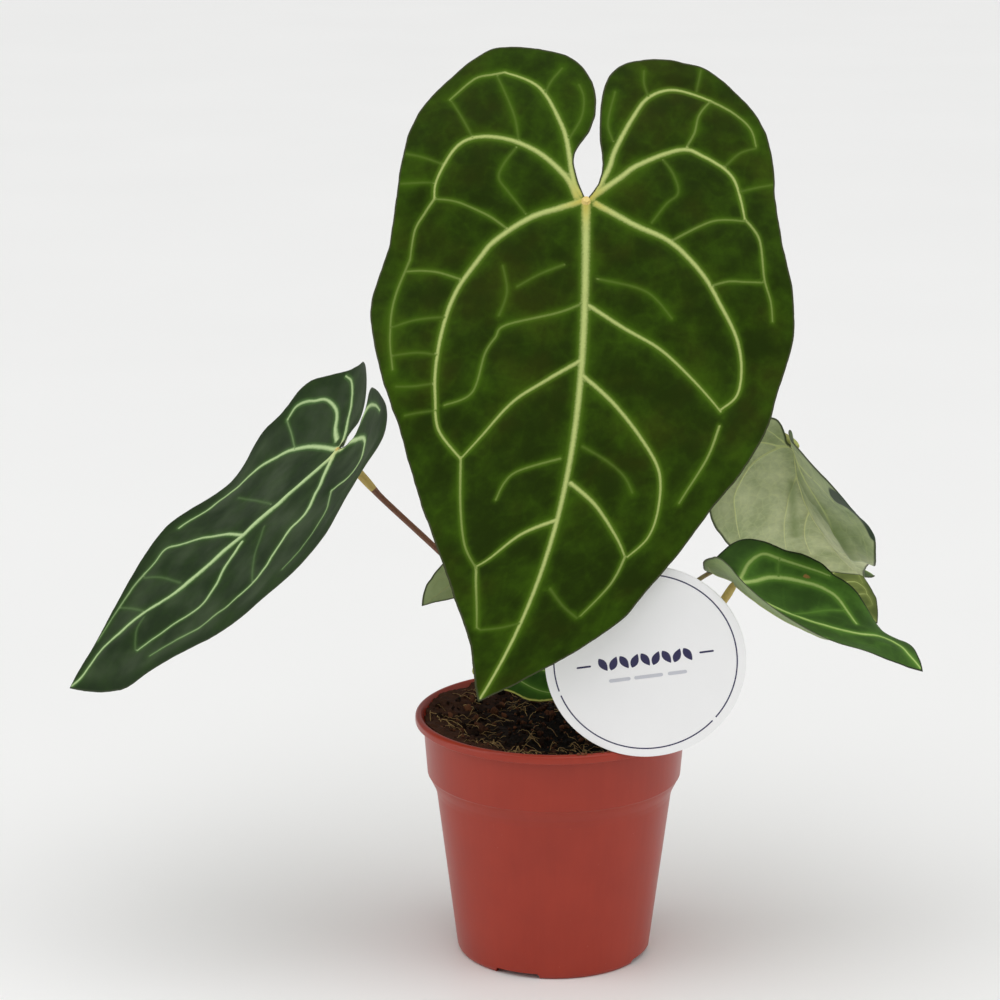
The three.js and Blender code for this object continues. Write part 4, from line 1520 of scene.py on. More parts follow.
@dataclass
class Pot:
    """A thin nursery pot with a rolled lip, a rim band and a foot ring with drain notches."""

    height: float = 107.0
    rim_radius: float = 60.0
    base_radius: float = 42.0
    wall: float = 1.2
    lip_height: float = 4.0
    lip_width: float = 2.7
    band_top_radius: float = 56.6
    band_low_radius: float = 54.8
    band_low: float = 81.0
    shoulder_low: float = 72.0
    shoulder_radius: float = 50.9
    step_in: float = 1.0
    step_drop: float = 2.4
    foot_width: float = 3.0
    floor_underside: float = 3.0
    pad_radius: float = 9.0
    hole_radius: float = 4.0
    hole_ring_radius: float = 25.0
    hole_count: int = 6
    hole_sides: int = 32
    notch_width: float = 20.0
    notch_height: float = 2.4
    notch_count: int = 4
    notch_turn: float = -112.0
    notch_corner: float = 0.8
    corner_radius: float = 0.7
    sharp_degrees: float = 35.0
    sides: int = 192

    def inner_radius(self, height: float) -> float:
        """The inner radius of the tapered body at a height."""
        share = (height - self.floor_underside) / (self.shoulder_low - self.floor_underside)
        outer = self.base_radius + (self.shoulder_radius - self.base_radius) * share
        return outer - self.wall

    def profile(self) -> list[Pair]:
        """Corners of the pot's section, up the outside and down the inside."""
        lip_low = self.height - self.lip_height
        lip_inner = self.rim_radius - self.lip_width
        floor_top = self.floor_underside + self.wall
        base, rim, shoulder = self.base_radius, self.rim_radius, self.shoulder_radius
        return [
            (0, 0),
            (self.pad_radius, 0),
            (self.pad_radius + 1, self.floor_underside),
            (base - self.foot_width - 1, self.floor_underside),
            (base - self.foot_width, 0),
            (base - 1.0, 0),
            (base, 1.6),
            (shoulder, self.shoulder_low),
            (shoulder + 0.9, self.shoulder_low + 2.8),
            (self.band_low_radius - 1.2, self.band_low - 2.6),
            (self.band_low_radius - 0.5, self.band_low - 0.9),
            (self.band_low_radius, self.band_low - 0.5),
            (self.band_low_radius + 0.1, self.band_low + 0.6),
            (self.band_top_radius, lip_low),
            (rim - 0.4, lip_low),
            (rim, lip_low + 0.6),
            (rim, self.height - 0.9),
            (rim - 1.1, self.height),
            (lip_inner + 0.5, self.height),
            (lip_inner, self.height - 0.6),
            (self.band_top_radius - self.wall, lip_low),
            (self.band_low_radius - self.wall, self.band_low),
            (self.band_low_radius - self.step_in - self.wall, self.band_low - self.step_drop),
            (shoulder - self.wall, self.shoulder_low),
            (self.inner_radius(floor_top), floor_top),
            (0, floor_top),
        ]

    def cutters(self) -> list[bpy.types.Object]:
        """Temporary bodies for the drain holes and the foot's notches."""
        forms = []
        top = self.floor_underside + 3
        section = [(0, -1), (self.hole_radius, -1), (self.hole_radius, top), (0, top)]
        for i in range(self.hole_count):
            angle = 2 * math.pi * i / self.hole_count
            hole = lathe(np.array(section), self.hole_sides)
            hole.points[:, :2] += self.hole_ring_radius * compass(angle)
            forms.append(hole)
        middle = self.base_radius - self.foot_width / 2
        deep, wide, high = 1.5 * self.foot_width, self.notch_width / 2, self.notch_height
        corner = self.notch_corner
        side = [(-wide, -1.0), (wide, -1.0), (wide, high - corner), (wide - corner, high)]
        side += [(corner - wide, high), (-wide, high - corner)]
        for i in range(self.notch_count):
            angle = math.radians(self.notch_turn) + 2 * math.pi * i / self.notch_count
            notch = plate(side, middle - deep, middle + deep)
            across, up, out = notch.points.T
            notch.points = np.stack([
                out * math.cos(angle) - across * math.sin(angle),
                out * math.sin(angle) + across * math.cos(angle),
                up,
            ], axis=1)
            forms.append(notch)
        bodies = []
        for form in forms:
            mesh = bpy.data.meshes.new("cutter")
            mesh.from_pydata((form.points * METRES).tolist(), [], form.faces)
            body = bpy.data.objects.new("cutter", mesh)
            bpy.context.scene.collection.objects.link(body)
            bodies.append(body)
        return bodies

    def build(self) -> None:
        """Builds the pot and cuts its holes and notches."""
        form = lathe(rounded(self.profile(), self.corner_radius), self.sides)
        finish = PotPlastic().material()
        pot = add_piece("nursery_pot", form, [finish], ["pot"], None, self.sharp_degrees)
        bodies = self.cutters()
        for body in bodies:
            cut = pot.modifiers.new("cut", "BOOLEAN")
            cut.operation = "DIFFERENCE"
            cut.solver = "EXACT"
            cut.object = body
        shaped = pot.evaluated_get(bpy.context.evaluated_depsgraph_get())
        mesh = bpy.data.meshes.new_from_object(shaped)
        pot.modifiers.clear()
        pot.data = mesh
        mesh.shade_smooth()
        mesh.set_sharp_from_angle(angle=math.radians(self.sharp_degrees))
        for body in bodies:
            bpy.data.objects.remove(body)


@dataclass
class Soil:
    """Peat with a lumpy top, crumbs, loose fibres and a small mound round the crown."""

    level: float = 101.0
    ripple: float = 1.6
    mound_height: float = 4.0
    mound_spread: float = 20.0
    radius: float = 55.1
    edge_drop: float = 2.5
    bank_height: float = 4.2
    bank_from: float = 34.0
    bank_full: float = 52.0
    bank_start: float = 103.0
    bank_flare: float = 0.5
    left_reach: float = 45.0
    left_tone: float = 0.42
    rings: int = 76
    sides: int = 300
    crumbs: int = 900
    crumb_size: float = 0.4
    crumb_growth: float = 1.5
    crumb_tones: Sequence[float] = (0.1, 0.3, 0.55, 0.95)
    crumb_shares: Sequence[float] = (0.35, 0.35, 0.22, 0.08)
    lip_crumbs: int = 12
    lip_radius: float = 58.7
    lip_top: float = 107.0
    lip_turns: Pair = (-84.0, -64.0)
    fibres: int = 200
    fibre_step: float = 0.9

    def height(self, flat: Array) -> Array:
        """The height of the soil's top at flat points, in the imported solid's form."""
        x, y = flat.T
        coarse = np.sin(0.16 * x + 0.7) * np.cos(0.13 * y - 0.4)
        fine = np.sin(0.41 * x - 0.23 * y) * np.cos(0.29 * x + 0.37 * y)
        from_crown = np.hypot(x - CROWN_CENTRE[0], y - CROWN_CENTRE[1]) / self.mound_spread
        mound = self.mound_height * np.exp(-(from_crown**2))
        return self.level + self.ripple * (0.6 * coarse + 0.4 * fine) + mound

    def rough_height(self, flat: Array) -> Array:
        """The height of the soil's top with its lumps, banked against the pot's wall on the left."""
        lumps = 0.9 * abs(grain(flat, 7, 1)) + 0.7 * abs(grain(flat, 3, 2))
        lumps += 0.35 * grain(flat, 1.5, 3)
        outward = smoothstep(self.bank_from, self.bank_full, np.hypot(flat[:, 0], flat[:, 1]))
        leftward = smoothstep(20, -30, flat[:, 0])
        return self.height(flat) + 1.6 * lumps - 0.5 + self.bank_height * outward * leftward

    def build_bed(self, pot: Pot) -> None:
        """Builds the body of soil that fills the pot.

        Args:
            pot: The pot.
        """
        low = pot.floor_underside + pot.wall + SEAT_GAP
        band_inner = pot.band_low_radius - pot.wall - SEAT_GAP
        wall = [
            (0, low),
            (pot.inner_radius(low) - SEAT_GAP, low),
            (pot.shoulder_radius - pot.wall - SEAT_GAP, pot.shoulder_low),
            (band_inner - pot.step_in, pot.band_low - pot.step_drop),
            (band_inner, pot.band_low),
            (self.radius, self.level - self.edge_drop),
        ]
        rings = [(self.radius * (1 - i / self.rings), self.level) for i in range(self.rings)]
        form = lathe(np.array([*wall, *rings, (0, self.level)]), self.sides)
        top = form.points[:, 2] > self.level - 1
        form.points[top, 2] = self.rough_height(form.points[top, :2])
        # The top's tone is paler on raised lumps and paler towards the left side.
        depth = form.points[:, 2] - self.height(form.points[:, :2])
        left_paling = np.clip(-form.points[:, 0] / self.left_reach, 0, 1)
        form.values["tone"] = np.clip(0.1 * depth - 0.02 + self.left_tone * left_paling, 0, 0.7) * top
        flare = self.bank_flare * np.clip(form.points[:, 2] - self.bank_start, 0, 3) * top
        form.points[:, :2] *= (1 + flare / self.radius)[:, None]
        add_piece("potting_soil", form, [Earth("peat").material()], ["soil"], None, 80.0)

    def lump(self, rng: np.random.Generator, place: Array, size: float, detail: int) -> Form:
        """An uneven crumb.

        Args:
            rng: Random numbers.
            place: Its centre.
            size: Its radius.
            detail: Subdivisions of its round start.

        Returns:
            The crumb.
        """
        ball = bmesh.new()
        bmesh.ops.create_icosphere(ball, subdivisions=detail, radius=1.0)
        points = np.array([tuple(vertex.co) for vertex in ball.verts])
        faces = [tuple(vertex.index for vertex in face.verts) for face in ball.faces]
        ball.free()
        shift = rng.uniform(0, 50)
        points *= (1 + 0.55 * grain(points, 0.9, shift) + 0.2 * grain(points, 0.4, shift))[:, None]
        points *= rng.uniform(0.6, 1.25, 3) * size
        turn = Matrix.Rotation(rng.uniform(0, 2 * math.pi), 3, Vector(unit(rng.normal(size=3))))
        return Form(points @ np.array(turn).T + place, faces)

    def build_crumbs(self) -> None:
        """Scatters crumbs of peat, bark and grit on the soil."""
        rng = np.random.default_rng(7)
        forms = []
        for _ in range(self.crumbs):
            radius = (self.radius - 2) * math.sqrt(rng.uniform(0, 1))
            angle = rng.uniform(0, 2 * math.pi)
            flat = radius * compass(angle)[None]
            size = self.crumb_size + self.crumb_growth * rng.uniform(0, 1) ** 4
            height = self.rough_height(flat)[0] + 0.25 * size
            form = self.lump(rng, np.array([*flat[0], height]), size, 3 if size > 1.2 else 2)
            forms.append(form.tinted(rng.choice(self.crumb_tones, p=self.crumb_shares)))
        for _ in range(self.lip_crumbs):
            angle = math.radians(rng.uniform(*self.lip_turns))
            size = rng.uniform(0.3, 0.7)
            place = np.array([*(self.lip_radius * compass(angle)), self.lip_top + 0.4 * size])
            forms.append(self.lump(rng, place, size, 2).tinted(self.crumb_tones[-1]))
        finish = Earth("crumbs", srgb(22, 14, 10), srgb(112, 70, 48))
        add_piece("soil_crumbs", joined(forms), [finish.material()], (), None, 80.0)

    def build_fibres(self) -> None:
        """Scatters loose root and coir fibres on the soil."""
        rng = np.random.default_rng(11)
        forms = []
        for _ in range(self.fibres):
            radius = (self.radius - 3) * rng.uniform(0, 1) ** 0.42
            angle = rng.uniform(0, 2 * math.pi)
            heading = rng.uniform(0, 2 * math.pi)
            curve = rng.normal(0, 0.09)
            line = [radius * compass(angle)]
            for _ in range(round(rng.uniform(5, 18))):
                heading += curve + rng.normal(0, 0.16)
                line.append(line[-1] + self.fibre_step * compass(heading))
            flat = np.array(line)
            flat *= np.minimum(1, (self.radius - 1.5) / np.linalg.norm(flat, axis=1))[:, None]
            share = np.linspace(0, 1, len(flat))
            arch = rng.uniform(0.2, 2.2) * np.sin(math.pi * share)
            path = spline(np.column_stack([flat, self.rough_height(flat) + arch]), 3)
            taper = rng.uniform(0.09, 0.22) * (1 - 0.5 * np.linspace(0, 1, len(path)))
            forms.append(sweep(path, taper, 6).tinted(rng.uniform(0.3, 1.0)))
        finish = Earth("fibre", srgb(76, 50, 32), srgb(190, 158, 106), 0.8)
        add_piece("soil_fibres", joined(forms), [finish.material()], (), None, 80.0)


@dataclass
class Crown:
    """The short stem base that the leaf stalks grow from, wrapped in dry scales."""

    centre: Pair = CROWN_CENTRE
    bottom: float = 84.0
    top: float = CROWN_TOP
    radius: float = 10.5
    thickest_from: float = 98.0
    thickest_to: float = 107.0
    sides: int = 72
    scales: int = 7
    scale_foot: float = 99.0
    scale_thickness: float = 0.35

    ROWS = 16
    COLUMNS = 9

    def build_base(self) -> None:
        """Builds the knobbly stem base."""
        profile = rounded([
            (0, self.bottom), (0.7 * self.radius, self.bottom), (self.radius, self.thickest_from),
            (self.radius, self.thickest_to), (0.94 * self.radius, self.top - 3),
            (0.7 * self.radius, self.top), (0, self.top + 1),
        ], radius=4, steps=8)
        form = lathe(profile, self.sides)
        knobs = 0.5 * grain(form.points, 5, 2) + 0.25 * grain(form.points, 2, 4)
        away = form.points * (1, 1, 0)
        form.points += knobs[:, None] * unit(away)
        form.points[:, :2] += self.centre
        form.values["along"] = (form.points[:, 2] - self.bottom) / (self.top - self.bottom)
        skin = Stem("crown_skin", srgb(92, 74, 46), srgb(138, 122, 78), srgb(60, 44, 30))
        add_piece("stem_base", form, [skin.material()], ["crown"], None, 80.0)

    def scale_form(self, rng: np.random.Generator, angle: float) -> Form:
        """A dry scale that wraps the stem and ends in a point.

        Args:
            rng: Random numbers.
            angle: The scale's direction from the stem's centre.

        Returns:
            The closed thin scale.
        """
        rows, columns = self.ROWS, self.COLUMNS
        tall, wide = rng.uniform(15, 24), rng.uniform(0.5, 0.75)
        flare = rng.uniform(0.5, 3.0)
        outer, inner = [], []
        for i in range(rows):
            share = i / (rows - 1)
            spread = wide * (1 - share**2.2) + 0.02
            for j in range(columns):
                turn = angle + spread * (2 * j / (columns - 1) - 1)
                radius = self.radius + 0.7 - 2.2 * share + flare * share**2
                height = self.scale_foot + tall * share
                for shell, thick in ((outer, self.scale_thickness), (inner, 0.0)):
                    shell.append([*(self.centre + (radius + thick) * compass(turn)), height])
        count = rows * columns
        faces = []
        for i in range(rows - 1):
            for j in range(columns - 1):
                a = i * columns + j
                quad = (a, a + 1, a + 1 + columns, a + columns)
                faces.append(quad)
                faces.append(tuple(index + count for index in quad[::-1]))
        border = list(range(columns))
        border += [i * columns + columns - 1 for i in range(1, rows)]
        border += [(rows - 1) * columns + j for j in range(columns - 2, -1, -1)]
        border += [i * columns for i in range(rows - 2, 0, -1)]
        for a, b in zip(border, border[1:] + border[:1]):
            faces.append((b, a, a + count, b + count))
        points = np.array(outer + inner)
        points += 0.25 * np.column_stack([grain(points, 3, shift) for shift in (1, 2, 3)])
        return Form(points, faces, {"along": (points[:, 2] - self.scale_foot) / tall})

    def build_scales(self) -> None:
        """Builds the dry scales round the stem."""
        rng = np.random.default_rng(5)
        turns = full_turn(self.scales)
        forms = [self.scale_form(rng, turn + rng.uniform(-0.2, 0.2)) for turn in turns]
        skin = Stem("dry_scale", srgb(84, 58, 40), srgb(150, 116, 78), srgb(56, 38, 26), 0.7)
        add_piece("stem_scales", joined(forms), [skin.material()], (), None, 60.0)


# Label


@dataclass
class Label:
    """A round plastic label with a printed ring and a row of small leaves, on a flat stake."""

    radius: float = 41.5
    thickness: float = 0.8
    edge_radius: float = 0.3
    front_rings: int = 18
    sides: int = 160
    centre: Triple = (37.6, -55.0, 146.6)
    lean: float = 1.5
    stick_x: float = 30.0
    stick_width: float = 5.0
    stick_thickness: float = 1.6
    stick_heights: Pair = (165.0, 130.0)
    stick_foot: Pairs = ((-44.2, 108.0), (-32.0, 68.0))
    stick_tip: Pair = (-31.0, 64.0)
    stick_bevel: float = 0.4
    ring_radius: float = 37.8
    ring_width: float = 0.55
    ring_arcs: Pairs = ((93, 200), (203, 318), (321, 450))
    print_height: float = 0.05
    print_depth: float = 0.02
    motif_turn: float = 8.0
    row_height: float = 1.2
    row_start: float = -17.5
    leaf_count: int = 9
    leaf_step: float = 4.4
    leaf_length: float = 6.4
    leaf_turn: float = 62.0
    dash_place: float = 25.5
    dash_size: Pair = (6.0, 0.8)
    bars_height: float = -6.2
    bar_thickness: float = 1.5
    bars: Pairs = ((-11.5, 9), (0.5, 12), (12.5, 8))

    def placed(self, form: Form) -> Form:
        """Moves a form from the disc's own plane, whose Z is its front, to its place.

        Args:
            form: A form in the disc's own plane.

        Returns:
            The same form.
        """
        x, y, z = form.points.T
        lean = math.radians(self.lean)
        upright = np.stack([x, -z, y], axis=1)
        turned = np.stack([
            upright[:, 0],
            upright[:, 1] * math.cos(lean) - upright[:, 2] * math.sin(lean),
            upright[:, 1] * math.sin(lean) + upright[:, 2] * math.cos(lean),
        ], axis=1)
        form.points = turned + np.array(self.centre)
        return form

    def build_disc(self) -> None:
        """Builds the disc with softly rounded edges."""
        half = self.thickness / 2
        corners = [(0, -half), (self.radius, -half), (self.radius, half), (0, half)]
        profile = rounded(corners, self.edge_radius, steps=5)
        rings = [(share * self.radius, half) for share in np.linspace(0.95, 0.1, self.front_rings)]
        form = lathe(np.array([*profile[:-1], *rings, (0, half)]), self.sides)
        finish = Sheeting("label_sheet", srgb(244, 244, 244), srgb(248, 248, 248), 0.42)
        disc = self.placed(form)
        add_piece("plant_label", disc, [finish.material()], ["label_disc"], None, 50.0)

    def arc(self, start: float, end: float) -> Form:
        """A piece of the printed ring.

        Args:
            start: Its first angle in degrees.
            end: Its last angle in degrees.

        Returns:
            The thin closed arc.
        """
        angles = np.radians(np.linspace(start, end, max(3, round((end - start) / 2))))
        way = np.stack([np.cos(angles), np.sin(angles)], axis=1)
        outer = (self.ring_radius + self.ring_width / 2) * way
        inner = (self.ring_radius - self.ring_width / 2) * way
        half = self.thickness / 2
        count = len(angles)
        low, high = half - self.print_depth, half + self.print_height
        points = np.concatenate([
            np.column_stack([line, np.full(count, level)])
            for level in (low, high)
            for line in (inner, outer)
        ])
        faces = []
        for k in range(count - 1):
            a, b, c, d = k, k + 1, count + k + 1, count + k
            faces.append((a, b, c, d))
            faces.append(tuple(2 * count + index for index in (d, c, b, a)))
            faces.append((b, a, a + 2 * count, b + 2 * count))
            faces.append((d, c, c + 2 * count, d + 2 * count))
        for k, flip in ((0, False), (count - 1, True)):
            cap = (k, count + k, 3 * count + k, 2 * count + k)
            faces.append(cap[::-1] if flip else cap)
        return Form(points, faces)

    def printed_leaf(self, x: float, y: float, size: float, turn: float) -> Form:
        """A small printed leaf shape.

        Args:
            x: Its place across the label.
            y: Its place up the label.
            size: Its length.
            turn: Its turn in degrees.

        Returns:
            A thin plate.
        """
        share = np.linspace(0, 1, 15)
        bulge = 0.3 * np.sin(math.pi * share) ** 0.8 * (1 - 0.35 * share)
        half = np.column_stack([share - 0.5, bulge])
        outline = size * np.concatenate([half[:-1] * (1, -1), half[::-1][:-1]])
        return self.turned(outline, x, y, turn)

    def bar(self, x: float, y: float, wide: float, high: float) -> Form:
        """A printed bar with rounded ends, centred on a place of the label."""
        angle = np.linspace(-math.pi / 2, math.pi / 2, 7)
        right = np.column_stack([
            wide / 2 - high / 2 + high / 2 * np.cos(angle), high / 2 * np.sin(angle),
        ])
        return self.turned(np.concatenate([right, -right]), x, y, 0)

    def turned(self, outline: Array, x: float, y: float, turn: float) -> Form:
        """A printed plate, turned by its own angle and then with the whole motif."""
        for angle, shift in ((turn, (x, y)), (self.motif_turn, (0, 0))):
            c, s = math.cos(math.radians(angle)), math.sin(math.radians(angle))
            outline = outline @ np.array([[c, s], [-s, c]]) + np.array(shift)
        half = self.thickness / 2
        return plate(outline.tolist(), half - self.print_depth, half + self.print_height)

    def build_print(self) -> None:
        """Builds the printed ring, the row of leaves and the faint bars under it."""
        dark = [self.arc(start, end) for start, end in self.ring_arcs]
        for k in range(self.leaf_count):
            turn = self.leaf_turn if k % 2 else -self.leaf_turn
            x = self.row_start + self.leaf_step * k
            dark.append(self.printed_leaf(x, self.row_height, self.leaf_length, turn))
        for side in (-1, 1):
            dark.append(self.bar(side * self.dash_place, self.row_height, *self.dash_size))
        ink = Sheeting("label_ink", srgb(34, 30, 74), srgb(40, 36, 82), 0.45)
        add_piece("label_print", self.placed(joined(dark)), [ink.material()], (), None, 50.0)
        pale = [self.bar(x, self.bars_height, wide, self.bar_thickness) for x, wide in self.bars]
        wash = Sheeting("label_wash", srgb(196, 197, 205), srgb(202, 203, 210), 0.45)
        add_piece("label_bars", self.placed(joined(pale)), [wash.material()], (), None, 50.0)

    def build_stick(self) -> None:
        """Builds the flat stake behind the disc, with rounded edges."""
        lean = math.tan(math.radians(self.lean))
        back = self.centre[1] + self.thickness / 2 + SEAT_GAP
        line = [(back - (z - self.centre[2]) * lean, z) for z in self.stick_heights]
        line += self.stick_foot
        behind = [(y + self.stick_thickness, z) for y, z in line[::-1]]
        outline = [*line, self.stick_tip, *behind]
        form = plate(outline, -self.stick_width / 2, self.stick_width / 2)
        y, z, x = form.points.T
        form.points = np.stack([x + self.stick_x, y, z], axis=1)
        body = bmesh.new()
        corners = [body.verts.new(point) for point in form.points.tolist()]
        for face in form.faces:
            body.faces.new([corners[index] for index in face])
        bmesh.ops.recalc_face_normals(body, faces=body.faces)
        bmesh.ops.bevel(
            body, geom=body.edges[:], offset=self.stick_bevel, segments=3, affect="EDGES", profile=0.5
        )
        body.verts.index_update()
        points = np.array([tuple(vertex.co) for vertex in body.verts])
        faces = [tuple(vertex.index for vertex in face.verts) for face in body.faces]
        body.free()
        finish = Sheeting("stake_plastic", srgb(214, 214, 216), srgb(222, 222, 224), 0.4)
        add_piece("label_stake", Form(points, faces), [finish.material()], ["label_stick"])


# Studio


@dataclass
class Studio:
    """Floor, lights and camera. Places are in metres."""

    floor_reach: float = 60.0
    surroundings: float = 0.38
    clip: Pair = (0.05, 150.0)
    camera_place: Triple = (0.0, -1.331, 0.542)
    camera_pitch: float = -14.36
    camera_yaw: float = 1.007
    lens: float = 116.35

    def build_floor(self) -> None:
        """Builds the pale floor."""
        mesh = bpy.data.meshes.new("floor")
        reach = self.floor_reach
        corners = [(-reach, -reach, 0), (reach, -reach, 0), (reach, reach, 0), (-reach, reach, 0)]
        mesh.from_pydata(corners, [], [(0, 1, 2, 3)])
        mesh.materials.append(FloorPaint().material())
        floor = bpy.data.objects.new("floor", mesh)
        bpy.context.scene.collection.objects.link(floor)

    def add_sun(
        self, name: str, azimuth: float, elevation: float, spread: float, strength: float
    ) -> None:
        """Adds a wide soft light that is as strong all over the floor.

        Args:
            name: The light's name.
            azimuth: Where it shines from, in degrees to the right of the camera's side.
            elevation: Its height above the horizon, in degrees.
            spread: Its angular width, in degrees.
            strength: Its power.
        """
        data = bpy.data.lights.new(name, "SUN")
        data.angle = math.radians(spread)
        data.energy = strength
        light = bpy.data.objects.new(name, data)
        turn, lift = math.radians(azimuth), math.radians(elevation)
        way = Vector((
            math.sin(turn) * math.cos(lift), -math.cos(turn) * math.cos(lift), math.sin(lift),
        ))
        light.location = way * 2
        light.rotation_mode = "QUATERNION"
        light.rotation_quaternion = (-way).to_track_quat("-Z", "Y")
        bpy.context.scene.collection.objects.link(light)

    def build_lights(self) -> None:
        """Adds the soft lights and the pale surroundings."""
        self.add_sun("top_softbox", -6, 76, 75, 1.66)
        self.add_sun("left_softbox", -78, 18, 50, 0.85)
        self.add_sun("right_softbox", 78, 18, 50, 0.8)
        world = bpy.data.worlds.new("surroundings")
        world.use_nodes = True
        background = world.node_tree.nodes["Background"]
        background.inputs["Color"].default_value = (1.0, 1.0, 1.0, 1.0)
        background.inputs["Strength"].default_value = self.surroundings
        bpy.context.scene.world = world
        bpy.context.scene.view_settings.view_transform = "Standard"

    def build_camera(self) -> None:
        """Adds the camera at the photograph's viewing angle."""
        data = bpy.data.cameras.new("camera")
        data.lens = self.lens
        data.clip_start, data.clip_end = self.clip
        camera = bpy.data.objects.new("camera", data)
        camera.location = self.camera_place
        camera.rotation_euler = (
            math.radians(90 + self.camera_pitch), 0, math.radians(self.camera_yaw),
        )
        bpy.context.scene.collection.objects.link(camera)
        bpy.context.scene.camera = camera


# The seven leaves


def young_halves(
    width: float, fold: float, curl: float, veins: int | None = None
) -> dict[str, Half]:
    """The two halves of a small leaf, which differ only in their outline and waves.

    Args:
        width: Their share of the outline's width.
        fold: Their fold in degrees.
        curl: Their curl in degrees.
        veins: How many of each half's veins show, or nothing for all.

    Returns:
        The halves, by the names of a blade's fields.
    """
    right_waves, left_waves = (0, 0, 1, -1, 1, 0, 0), (0, 0, -1, 1, -1, 0, 0)
    return {
        "right": Half(width, 0.8, fold, curl, right_waves, RIGHT_EDGE, RIGHT_VEINS[:veins]),
        "left": Half(width, 0.8, fold, curl, left_waves, LEFT_EDGE, LEFT_VEINS[:veins]),
    }


RED_STALK = Stem("red_stalk", srgb(136, 88, 66), srgb(120, 92, 62), srgb(92, 54, 40))
GREEN_STALK = Stem("green_stalk", srgb(128, 122, 70), srgb(120, 88, 60), srgb(96, 66, 44))
YELLOW_JOINT = Stem("yellow_joint", srgb(226, 200, 118), srgb(214, 184, 104), srgb(186, 150, 84), 0.3)
GREEN_JOINT = Stem("green_joint", srgb(176, 184, 96), srgb(150, 150, 80), srgb(120, 112, 60), 0.3)

FRONT_LARGE = Leaf(
    Blade(
        "front_large", (12.2, -12, 331.4), 206, heading=270, dip=66, roll=0, bend=10, lobe_bend=14,
        sway=43,
        right=Half(1, 1, 0, -14, (0, 3, -2, 3, -3, 3, 0), RIGHT_EDGE, RIGHT_VEINS),
        left=Half(1, 1, 0, -14, (0, -2, 3, -1, 5, 6, 0), LEFT_EDGE, LEFT_VEINS),
        top=LeafTop("leaf_dark"), under=LeafUnder("leaf_dark_under"), seed=1,
    ),
    Stalk(
        (11.5, 0, 321), 3, ((10, 10, 304), (11, 20, 265), (14, 20, 190), (15, 15, 132)), 90, 2.2,
        RED_STALK, YELLOW_JOINT,
    ),
)
LEFT = Leaf(
    Blade(
        "left", (-92.8, 10, 220.4), 155, heading=186.6, dip=43.2, roll=2.5, bend=-5, lobe_bend=-75,
        twist=19, sway=-3, bow=4.5,
        right=Half(1, 0.66, -3, 15, (-6, 17, 5, -7, 5, 4, -4), RIGHT_EDGE, (
            Vein(Rank.PRIMARY, ((0, 3), (12, 31), (25, 48), (39, 58), (55, 67), (71, 69), (81, 67),
                                (90, 62), (102, 59), (108, 57))),
            Vein(Rank.PRIMARY, ((-2, 17), (-6, 30), (-17, 43), (-17, 57), (-5, 65), (8, 74), (19, 75))),
            Vein(Rank.CROSS, ((19, 75), (21, 61), (24, 47))),
            Vein(Rank.PRIMARY, ((-5, 3), (-19, 23), (-35, 34), (-47, 47), (-48, 58))),
            Vein(Rank.LATERAL, ((74, -1), (83, 15), (97, 32), (110, 40), (120, 46), (130, 41), (138, 39))),
            Vein(Rank.FAINT, ((51, 7), (60, 30), (69, 51))),
            Vein(Rank.FAINT, ((120, 4), (129, 23), (139, 36))),
            Vein(Rank.FAINT, ((147, 8), (153, 18), (159, 27))),
            Vein(Rank.COLLECTIVE, ((138, 39), (152, 33), (166, 25), (180, 17))),
        )),
        left=Half(1, 0.72, -9, 5, (-16, 7, 3, 4, 6, 12, -7), LEFT_EDGE, (
            Vein(Rank.PRIMARY, ((-10, 5), (-28, 5), (-44, 11), (-52, 27), (-53, 42))),
            Vein(Rank.PRIMARY, ((-3, 3), (-14, 8), (-25, 26), (-21, 40), (-13, 49), (1, 47), (14, 40))),
            Vein(Rank.COLLECTIVE, ((14, 40), (20, 56), (29, 63), (44, 70), (60, 72))),
            Vein(Rank.PRIMARY, ((3, -1), (12, 11), (22, 24), (34, 36), (46, 37), (58, 43), (70, 51),
                                (80, 55), (100, 53))),
            Vein(Rank.FAINT, ((60, 12), (72, 31), (80, 53))),
            Vein(Rank.LATERAL, ((76, 7), (84, 12), (93, 18), (103, 26), (115, 31), (128, 27),
                                (144, 23), (160, 19))),
            Vein(Rank.COLLECTIVE, ((100, 53), (118, 50), (136, 42), (154, 34))),
            Vein(Rank.FAINT, ((148, -1), (156, 5), (161, 17))),
        )),
        # This upper face carries patches of painted sheen.
        top=LeafTop(
            "leaf_sheen", srgb(22, 39, 13), srgb(37, 60, 19), srgb(182, 206, 148), srgb(50, 60, 40),
            net=0.2, velvet=0.04, gloss=0.12, painted_sheen=0.32, glow=srgb(84, 122, 62),
            warm=srgb(36, 52, 18), heart=srgb(204, 214, 146),
        ),
        under=LeafUnder("leaf_sheen_under"), seed=2, spacing=2.0, vein_width=1.35,
        midrib=((0, 0), (60, -1), (121, -1), (149, 7), (165, 8), (180, 7), (196, 0), (205, 0)),
    ),
    Stalk(
        (-77.9, 12, 202.7), 1.9, ((-48, 8, 174.6), (-20, 6, 147), (2, 7, 125)), 180, 1.3,
        RED_STALK, YELLOW_JOINT,
    ),
)
